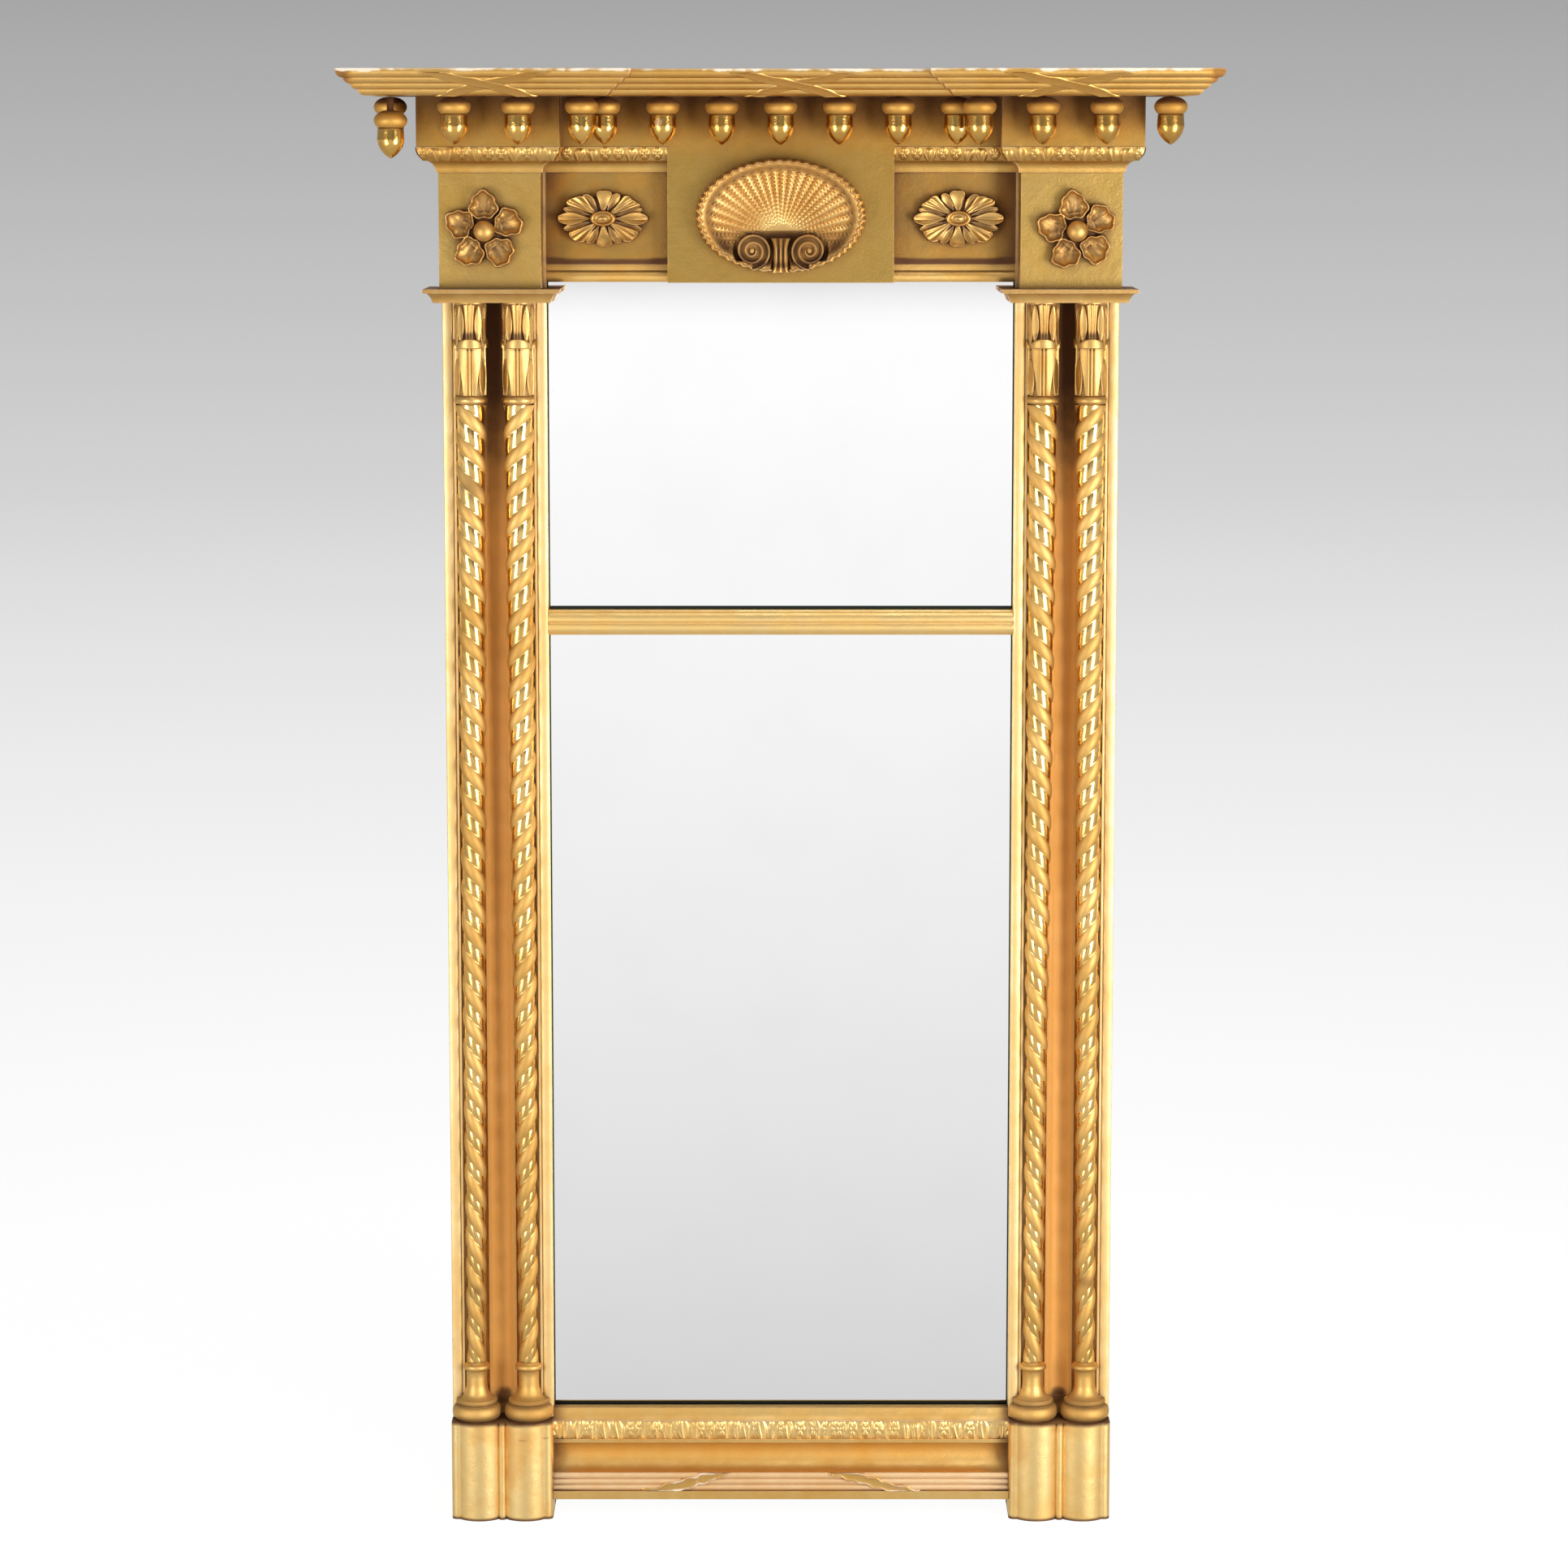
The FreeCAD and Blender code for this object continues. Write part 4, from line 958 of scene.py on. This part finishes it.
def rosette_height(x, z, turn):
    """Height of a rosette over its ground; turn is the direction of its first petal."""
    reach = np.hypot(x, z)
    lift = np.where(reach < 13.0, 2.2, 0.0)
    for number in range(5):
        lean = math.radians(turn + 72 * number)
        along = x * math.cos(lean) + z * math.sin(lean) - petal_out
        across = -x * math.sin(lean) + z * math.cos(lean)
        angle = np.arctan2(across, along)
        edge = 10.2 + 0.9 * np.cos(3 * angle + 0.6 * number)
        edge = edge + 0.6 * np.cos(7 * angle + 2.0 * number)
        part = unit(np.hypot(along, across) / edge)
        bowl = 1.2 + 5.4 * part ** 2.6 + 0.16 * along
        fan = np.arctan2(across, along + petal_out)
        veins = 1.1 * np.cos(fan * 17.0 + 1.7 * number) * part * (1.25 - part)
        lip = 2.1 * bell(part, 0.89, 0.075)
        petal = (bowl + veins + lip) * soft_edge(part, 0.05)
        lift = np.maximum(lift, np.where(part < 1, petal, 0))
    ball = 6.2 + np.sqrt(np.clip(7.4 ** 2 - reach ** 2, 0, None))
    return np.where(reach < ball_radius, ball, lift)


def add_carving(name, middle, shape, finish, **traits):
    """A carving in place of a solid that lies on an upright face. middle is (x, z), and shape
    holds the grids across, along and of heights."""
    face_y = node_box(name)[1][1]
    made = carved(*shape, lambda u, v, h: (middle[0] + u, face_y - h, middle[1] + v), **traits)
    add_piece(name + "_carved", [made], finish, "gilt_ornament", name)


across, along = square_grid(30.0, 30.0, 190, 190)
ball_matte = np.where(np.hypot(across, along) < ball_radius, 0.3, 0.0)
# Painted shade: each rosette darkens where it lies low, deep in its cups and towards the ground.
for side, hand in (("left", -1), ("right", 1)):
    lift = rosette_height(across, along, rosette_turns[side])
    add_carving(side + "_rosette", (hand * rosette_x, rosette_z), (across, along, lift),
                gilt_ornament, matte=ball_matte, soot=0.55 * unit(1 - lift / 6.0))


# Paterae: oval flowers of long and short petals round a ringed boss, carved in limewood
# and glued to the frieze panels.
patera_wide, patera_tall = 31.2, 19.6
boss_wide, boss_tall = 9.0, 5.5
petal_root = 0.25


def turn_from(angle, middle):
    """The angle from a middle line, between half a turn each way."""
    return (angle - middle + np.pi) % (2 * np.pi) - np.pi


def petal_height(part, angle, middle, half, tip, style):
    """One petal of an oval flower. part is the share from the middle to the rim, angle the
    direction, and style its form: a pointed boat, a ruffled fan or a round tongue."""
    turn = np.abs(turn_from(angle, middle))
    share = unit((part - petal_root) / (tip - petal_root))
    if style == "boat":
        width = half * np.sin(np.pi * share ** 1.15) ** 0.7
    else:
        blunt = 0.16 if style == "fan" else 0.3
        width = half * (0.7 + 0.3 * share) * dome(1 - unit((1 - share) / blunt))
    side = turn / (width + 1e-4)
    lift = 5.0 - 1.3 * np.sin(np.pi * share) + 2.6 * share ** 2
    lift = lift + 1.2 * side ** 2 * share
    if style == "fan":
        lift = lift + 0.55 * np.cos(3 * np.pi * side) * share
    elif style == "boat":
        lift = lift + 0.6 * bell(side, 0, 0.1) - 0.8 * bell(side, 0, 0.3)
    lift = lift * soft_edge(side, 0.1) * soft_edge(share, 0.04)
    return np.where((part > petal_root) & (part < tip) & (side < 1), lift, 0)


def patera_height(x, z, flip):
    """Height of a patera over its ground; flip is -1 for the mirrored one."""
    u, v = x / patera_wide, z / patera_tall
    part = np.hypot(u, v)
    angle = np.arctan2(v, u * flip)
    lift = np.where(part < 0.72, 2.0, 0.0)
    for number in range(8):
        middle = (number + 0.5) * math.pi / 4 + 0.05 * math.sin(5.0 * number)
        lift = np.maximum(lift, 0.8 * petal_height(part, angle, middle, 0.19, 0.97, "boat"))
    for number in range(8):
        middle = number * math.pi / 4 + 0.04 * math.sin(7.0 * number)
        if number % 4 == 0:
            petal = petal_height(part, angle, middle, 0.34, 1.03, "boat")
        elif number % 2 == 0:
            petal = petal_height(part, angle, middle, 0.25, 1.01, "tongue")
        else:
            ruffle = 1.0 + 0.035 * np.cos(9.0 * turn_from(angle, middle) + number)
            petal = petal_height(part / ruffle, angle, middle, 0.32, 1.0, "fan")
        lift = np.maximum(lift, petal)
    u, v = x / boss_wide, z / boss_tall
    boss = np.hypot(u, v)
    roots = 0.5 + 0.5 * np.cos(np.arctan2(v, u) * 24)
    lift = np.where((boss > 1.0) & (boss < 1.4), np.minimum(lift, 4.2 + 1.6 * roots), lift)
    ring = 4.3 + 2.4 * bell(boss, 0.82, 0.19) + bell(boss, 0, 0.25)
    return np.where(boss < 1.0, ring, lift)


across, along = square_grid(33.0, 21.0, 220, 150)
# Painted shade: each patera darkens where it lies low, between and inside its petals.
for side, flip in (("left", -1), ("right", 1)):
    low, high = node_box(side + "_patera")
    lift = patera_height(across, along, flip)
    add_carving(side + "_patera", ((low + high) / 2)[[0, 2]], (across, along, lift),
                gilt_ornament, soot=0.75 * unit(1 - lift / 6.2))


# Shell: a scallop shell with a crimped double rim, beaded ribs and two scrolls beside a
# fluted stem. It is carved in one piece and glued to the tablet.
shell_low, shell_high = node_box("shell")
shell_middle = (shell_low[2] + shell_high[2]) / 2
hinge_drop = 15.5
scroll_x, scroll_drop = 19.7, 24.0
scroll_reach, scroll_pitch = 12.9, 4.7
scroll_ball = 2.3
stem_foot, stem_head = -38.8, -hinge_drop
rim_inside = 0.86
lower_part = -10


def scroll_height(x, z, lift, mirror):
    """One scroll over the shell: a thin ridge wound inward on a low disc, with a ball in it.
    The ridge starts under the disc and rises beside the stem."""
    u, v = (x - mirror * scroll_x) * -mirror, z + scroll_drop
    reach = np.hypot(u, v)
    turn = np.arctan2(u, -v) / (2 * np.pi) % 1.0
    wind = (scroll_reach - reach) / scroll_pitch - turn
    inside = wind > -0.16
    ridge = bell((wind - np.round(wind)) * scroll_pitch, 0, 0.75) * (wind < 2.2)
    disc = 8.0 + 2.0 * unit(1 - reach / 11.0)
    ball = 9.0 + 1.3 * np.sqrt(np.clip(scroll_ball ** 2 - reach ** 2, 0, None))
    scroll = np.where(reach < scroll_ball, ball, disc + 3.4 * ridge)
    moat = (reach < 13.5) & ~inside & (z > -31)
    lift = np.where(moat, np.minimum(lift, 4.2), lift)
    return np.where(inside & (z > -39), scroll, lift)


def shell_height(x, z):
    """Height of the shell over the tablet, with its scrolls and its stem."""
    angle = np.arctan2(z / 39.0, x / 58.0)
    zigzag = 2 / np.pi * np.arcsin(np.sin(angle * 52 + 0.8 * np.sin(angle * 9)))
    part = np.hypot(x / 58.2, z / 39.1)
    frill = part - 0.016 * zigzag
    fan = np.arctan2(x, z + hinge_drop)
    far = np.hypot(x, z + hinge_drop)
    rib = (0.5 + 0.5 * np.cos(fan * 46)) ** 1.3
    bead = 0.5 + 0.5 * np.sin(far * 2 * np.pi / 2.7 + 2.0 * np.sin(fan * 11))
    grow = unit((far - 8.0) / 22.0)
    bowl = 2.2 + 5.6 * unit(part / 0.9) ** 2.5
    lift = bowl + grow * rib * (0.5 + 2.0 * bead)
    steep = unit((part - 0.79) / 0.16)
    lift = lift + (12.4 - lift) * steep ** 2 * (3 - 2 * steep)
    crimp = bell(frill, 0.962, 0.015)
    lift = np.where(part > rim_inside, lift + 2.2 * crimp, lift)
    lift = lift * unit((1.0 - frill) / 0.014) ** 0.4
    under = bell(z, -hinge_drop - 2.0, 4.0) * unit(1 - np.abs(x) / 40)
    lift = np.where(part < rim_inside, lift * (1 - 0.6 * under), lift)
    lift = np.where(frill >= 1, 0, lift)
    for mirror in (-1, 1):
        lift = scroll_height(x, z, lift, mirror)
    share = unit((z - stem_foot) / (stem_head - stem_foot))
    half = 4.6 + 2.6 * np.abs(2 * share - 1) ** 3
    flute = 0.5 + 0.5 * np.cos(x / half * np.pi * 3)
    stem = 9.8 + 2.6 * flute ** 0.7 - 4.5 * unit((share - 0.72) / 0.28)
    in_stem = (np.abs(x) < half) & (z > stem_foot) & (z < stem_head)
    gap = (np.abs(x) < half + 1.2) & (z > stem_foot + 2.3) & (z < stem_head)
    lift = np.where(gap, np.minimum(lift, 5.0), lift)
    return np.where(in_stem, stem, lift)


across, along = square_grid(59.4, 40.0, 380, 256)
shell_lift = shell_height(across, along)
shell_part = np.hypot(across / 58.4, along / 39.2)
shell_wall = bell(shell_part, 0.865, 0.06)
aside = np.abs(across)
in_scroll = (np.hypot(aside - scroll_x, along + scroll_drop) < 12.5) & (aside > 6.5)
# Painted shade with some grime: the inner wall of the rim, low places in the lower half, a band
# above the scrolls, the coils of the scrolls, the hinge and the sides below the scrolls are
# darkened, and the matte there deepens the colour too.
shell_soot = (0.38 * shell_wall
              + 0.42 * unit(1 - shell_lift / 5.5) * (along < lower_part)
              + 0.25 * bell(along, -13.5, 3.0) * np.exp(-(across / 24.0) ** 4)
              + 0.18 * in_scroll * unit((10.6 - shell_lift) / 2.0)
              + 0.28 * bell(np.hypot(across, along + hinge_drop), 0, 17.0)
              + 0.3 * bell(aside, 38.0, 8.0) * bell(along, -20.0, 9.0))
shell_matte_and_shade = unit(1.2 * shell_wall + 0.8 * (along < lower_part) * (shell_part < 0.9))
gilt_shell = gilding(
    "gilt_shell", (0.87, 0.59, 0.23), (0.58, 0.32, 0.085), grime=0.8, tooth=0.00008)
add_carving("shell", (0.0, shell_middle), (across, along, shell_lift), gilt_shell,
            soot=shell_soot, matte=shell_matte_and_shade)


# Cornice: raking bunches of reeds with a small lip, mitred round the frieze, and bound with
# crossed ribbons. The top edge is rubbed through to the white ground.
cornice_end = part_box("right_cornice")[1].x
worn_height = 1.0302


def tip_varnish(place):
    """The outer tips, handled and knocked, are brown."""
    reach = place.part_of("X").size() + 0.008 * place.noise(90.0, 4.0)
    tip = reach.between(cornice_end - 0.011, cornice_end - 0.002)
    return 0.6 * tip, 0.5 * tip


gilt_cornice = gilding(
    "gilt_cornice", (0.74, 0.45, 0.14), (0.58, 0.325, 0.08), gloss=0.36, grime=0.6, reach=0.008,
    rub=0.25, soften=0.0004, worn_above=worn_height, varnish_and_shade=tip_varnish)
dress(gilt_cornice, "left_cornice", "centre_cornice", "right_cornice")
cornice_low = node_box("centre_cornice")[0]
corner_front = node_box("left_cornice")[0][1]
rake_out, rake_up = 18.5, 15.8
strap_width = 6.4


def on_rake(front):
    """Places heights on a raking length; front is the line of its lip."""
    def place(along, up, lift):
        level = unit(up / rake_up)
        rise = 0.8 + lift
        out = rake_out * (1 - level)
        return along, front + out - 0.65 * rise, cornice_low[2] + rake_up * level - 0.75 * rise
    return place


cornice_ribbons = []
for front, middle in ((cornice_low[1], 10.0), (corner_front, 196.0), (corner_front, -200.0)):
    for lean in (-1, 1):
        line = [(middle - lean * 44, 18), (middle - lean * 22, 12), (middle, 8),
                (middle + lean * 20, 3), (middle + lean * 34, -3)]
        thickness = 0.45 + 0.12 * lean
        cornice_ribbons.append(ribbon(line, strap_width, thickness, on_rake(front), chips=0.0,
                                      ragged=0.2, seed=6 + lean))
gilt_straps = gilding(
    "gilt_straps", (0.78, 0.485, 0.16), (0.62, 0.355, 0.092), gloss=0.36, grime=0.3, rub=0.0,
    soften=0.0004)
add_piece("cornice_ribbons", cornice_ribbons, gilt_straps, "gilt_burnished")


# Acorns: turned drops pegged up under the soffit, with matte cups and burnished nuts.
# The outer one on the left has slipped down its peg.
gilt_acorn = gilding(
    "gilt_acorn", (0.77, 0.465, 0.125), (0.54, 0.29, 0.065), gloss=0.14, grime=1.0, reach=0.010)


def acorn_profile():
    """Points (radius, height) of an acorn from its flat top down, with their matte and their
    darkening: grime with painted shade at the top of the cup, under the soffit, and at the top of
    the nut, under the cup.
    """
    points, matte, soot = [(0.0, -0.2)], [1.0], [0.8]
    for a in np.radians(np.linspace(62, -48, 17)):
        height = -7.4 + 7.3 * math.sin(a)
        points.append((11.5 * math.cos(a), height))
        matte.append(1.0)
        # Grime with painted shade darkens the top of the cup.
        soot.append(0.75 * max(0.0, 1 + height / 6.0))
    for share in np.linspace(0, 1, 23):
        height = -12.7 - 20.6 * share
        ripe = max(0.0, (share - 0.36) / 0.64)
        swell = 8.9 + 0.5 * min(share / 0.4, 1.0)
        points.append((swell * (1 - ripe ** 1.9) ** 0.78, height))
        matte.append(0.0)
        # Painted shade darkens the top of the nut, under the cup.
        soot.append(0.25 * max(0.0, 1 - share / 0.12))
    return points, matte, soot


cup_points, cup_matte, cup_soot = acorn_profile()
chip_x = -84.0
acorn_tall = 33.4


def acorn_places(name):
    """The middles of the acorns of one solid, found from the spread of its points."""
    points = np.array([vertex.co for vertex in nodes[name].data.vertices]) / mm
    tips = points[points[:, 2] < points[:, 2].min() + 0.5]
    middles = []
    for tip in tips:
        if all(np.hypot(*(tip - other)[:2]) > 5 for other in middles):
            middles.append(tip)
    return middles


for name in ("left_acorns", "centre_acorns", "right_acorns", "loose_acorn"):
    shapes = []
    for tip in acorn_places(name):
        top = tip[2] + acorn_tall
        points, faces, kept = turned(cup_points, (tip[0], tip[1], top), 40,
                                     matte=cup_matte, soot=cup_soot)
        from_chip = np.linalg.norm(points - (chip_x, tip[1] - 8.0, top - 18.0), axis=1)
        kept["chip"] = 1.4 * bell(from_chip, 0, 3.0)
        shapes.append((points, faces, kept))
    if name == "loose_acorn":
        # The peg is painted fully dark.
        peg = [(0.0, 8.0), (2.3, 8.0), (2.4, 4.0), (2.4, -1.0)]
        shapes.append(turned(peg, (tip[0], tip[1], top), 24, matte=1.0, soot=1.0, chip=0.0))
    add_piece(name + "_turned", shapes, gilt_acorn, "gilt_ornament", name)


# The stage: a pale floor and a pale wall all round, soft lamps, and the camera.
# The wall greys upward, and the plates mirror the floor in front of them.
def stage_finish(name, shine_of):
    """A pale matt surface that also shows its own brightness to the eye and in reflections."""
    finish, shade = new_finish(name)
    path = {key: shade.node("ShaderNodeLightPath", {}, {}, key)
            for key in ("Is Camera Ray", "Is Glossy Ray", "Is Transmission Ray")}
    seen = 0.9 * path["Is Camera Ray"] + path["Is Glossy Ray"] + path["Is Transmission Ray"]
    shine = shine_of(shade, path["Is Glossy Ray"])
    grey = shade.node("ShaderNodeCombineXYZ", {}, {"X": shine, "Y": shine, "Z": shine})
    glow = shade.node("ShaderNodeEmission", {}, {"Color": grey, "Strength": 1.0})
    matt = shade.node("ShaderNodeBsdfDiffuse", {}, {"Color": (0.85, 0.85, 0.85, 1)})
    mixed = shade.node("ShaderNodeMixShader", {}, {0: seen, 1: matt, 2: glow})
    shade.node("ShaderNodeOutputMaterial", {}, {"Surface": mixed})
    return finish


def floor_shine(shade, mirrored):
    """Brightness of the floor: it pales outward, and in the plates it greys near the mirror."""
    place = shade.place()
    length = shade.node("ShaderNodeVectorMath", {"operation": "LENGTH"}, {0: place}, "Value")
    ahead = (0.0 - place.part_of("Y")).or_more(0.0)
    far = shade.maths("MINIMUM", 1.13 / (1.0 + 0.062 * length), 1.06)
    near = 0.605 + 0.42 * (ahead / (ahead + 1.7))
    return far + mirrored * (near - far)


def wall_shine(shade, mirrored):
    """Brightness of the wall: it greys upward, and its brightness in reflections, on the plates and
    on the gold, is painted apart: darker high up and on its flanks.
    """
    place = shade.place()
    level = place.part_of("Z")
    grey = 0.6975 - 0.222 * level
    aside = place.part_of("X").size()
    flank = aside.between(1.3, 2.6) * (1 - aside.between(6.0, 8.0))
    flank = flank * (1 - place.part_of("Y").between(-1.0, 1.0))
    seen_in_plate = 0.965 + 0.04 * level.between(0.0, 0.3) - 0.65 * level.between(0.45, 0.8)
    seen_in_plate = seen_in_plate * (1 - 0.55 * flank)
    return grey + mirrored * (seen_in_plate - grey)


def add_stage(name, points, faces, finish):
    piece = new_object(name, points, faces, finish)
    piece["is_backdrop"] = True


stage_radius, stage_sides, wall_height = 10.0, 96, 2.4
turns = [2 * math.pi * n / stage_sides for n in range(stage_sides)]
rim = [(stage_radius * math.cos(turn), stage_radius * math.sin(turn)) for turn in turns]
floor_points = [(x, y, 0.0) for x, y in rim]
add_stage("floor", floor_points, [tuple(range(stage_sides))],
          stage_finish("floor_pale", floor_shine))
wall_points = floor_points + [(x, y, wall_height) for x, y in rim]
wall_faces = [(n, (n + 1) % stage_sides, stage_sides + (n + 1) % stage_sides, stage_sides + n)
              for n in range(stage_sides)]
add_stage("backdrop", wall_points, wall_faces, stage_finish("backdrop_pale", wall_shine))

world = bpy.data.worlds.new("studio")
bpy.context.scene.world = world
world.use_nodes = True
sky = world.node_tree.nodes["Background"].inputs
sky["Color"].default_value = (0.98, 0.99, 1.0, 1)
sky["Strength"].default_value = 0.4


def add_lamp(name, place, aim, width, height, power):
    """A soft box of light that points at a spot on the mirror."""
    data = bpy.data.lights.new(name, "AREA")
    data.shape = "RECTANGLE"
    data.size = width
    data.size_y = height
    data.energy = power
    lamp = bpy.data.objects.new(name, data)
    bpy.context.collection.objects.link(lamp)
    towards = np.array(aim) - np.array(place)
    lamp.location = place
    lamp.rotation_euler = (math.atan2(math.hypot(towards[0], towards[1]), -towards[2]), 0,
                           math.atan2(-towards[0], towards[1]))
    lamp.visible_camera = False


add_lamp("lamp_left", (-1.05, -1.15, 0.52), (0, 0, 0.52), 0.5, 0.9, 11.2)
add_lamp("lamp_right", (1.05, -1.15, 0.52), (0, 0, 0.52), 0.5, 0.9, 23.3)
add_lamp("lamp_top", (0.3, -0.9, 2.3), (0, 0, 0.7), 1.2, 0.8, 6.0)

camera_tilt = 7.81
camera_data = bpy.data.cameras.new("camera")
camera_data.lens = 107.6
camera_data.sensor_width = 36.0
camera = bpy.data.objects.new("camera", camera_data)
bpy.context.collection.objects.link(camera)
camera.location = (0.0023, -3.261, 0.983)
camera.rotation_euler = (math.radians(90 - camera_tilt), 0, 0)
bpy.context.scene.camera = camera
bpy.context.scene.view_settings.view_transform = "Standard"

# The bounds of the finished piece, without the stage, are found.
low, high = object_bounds()
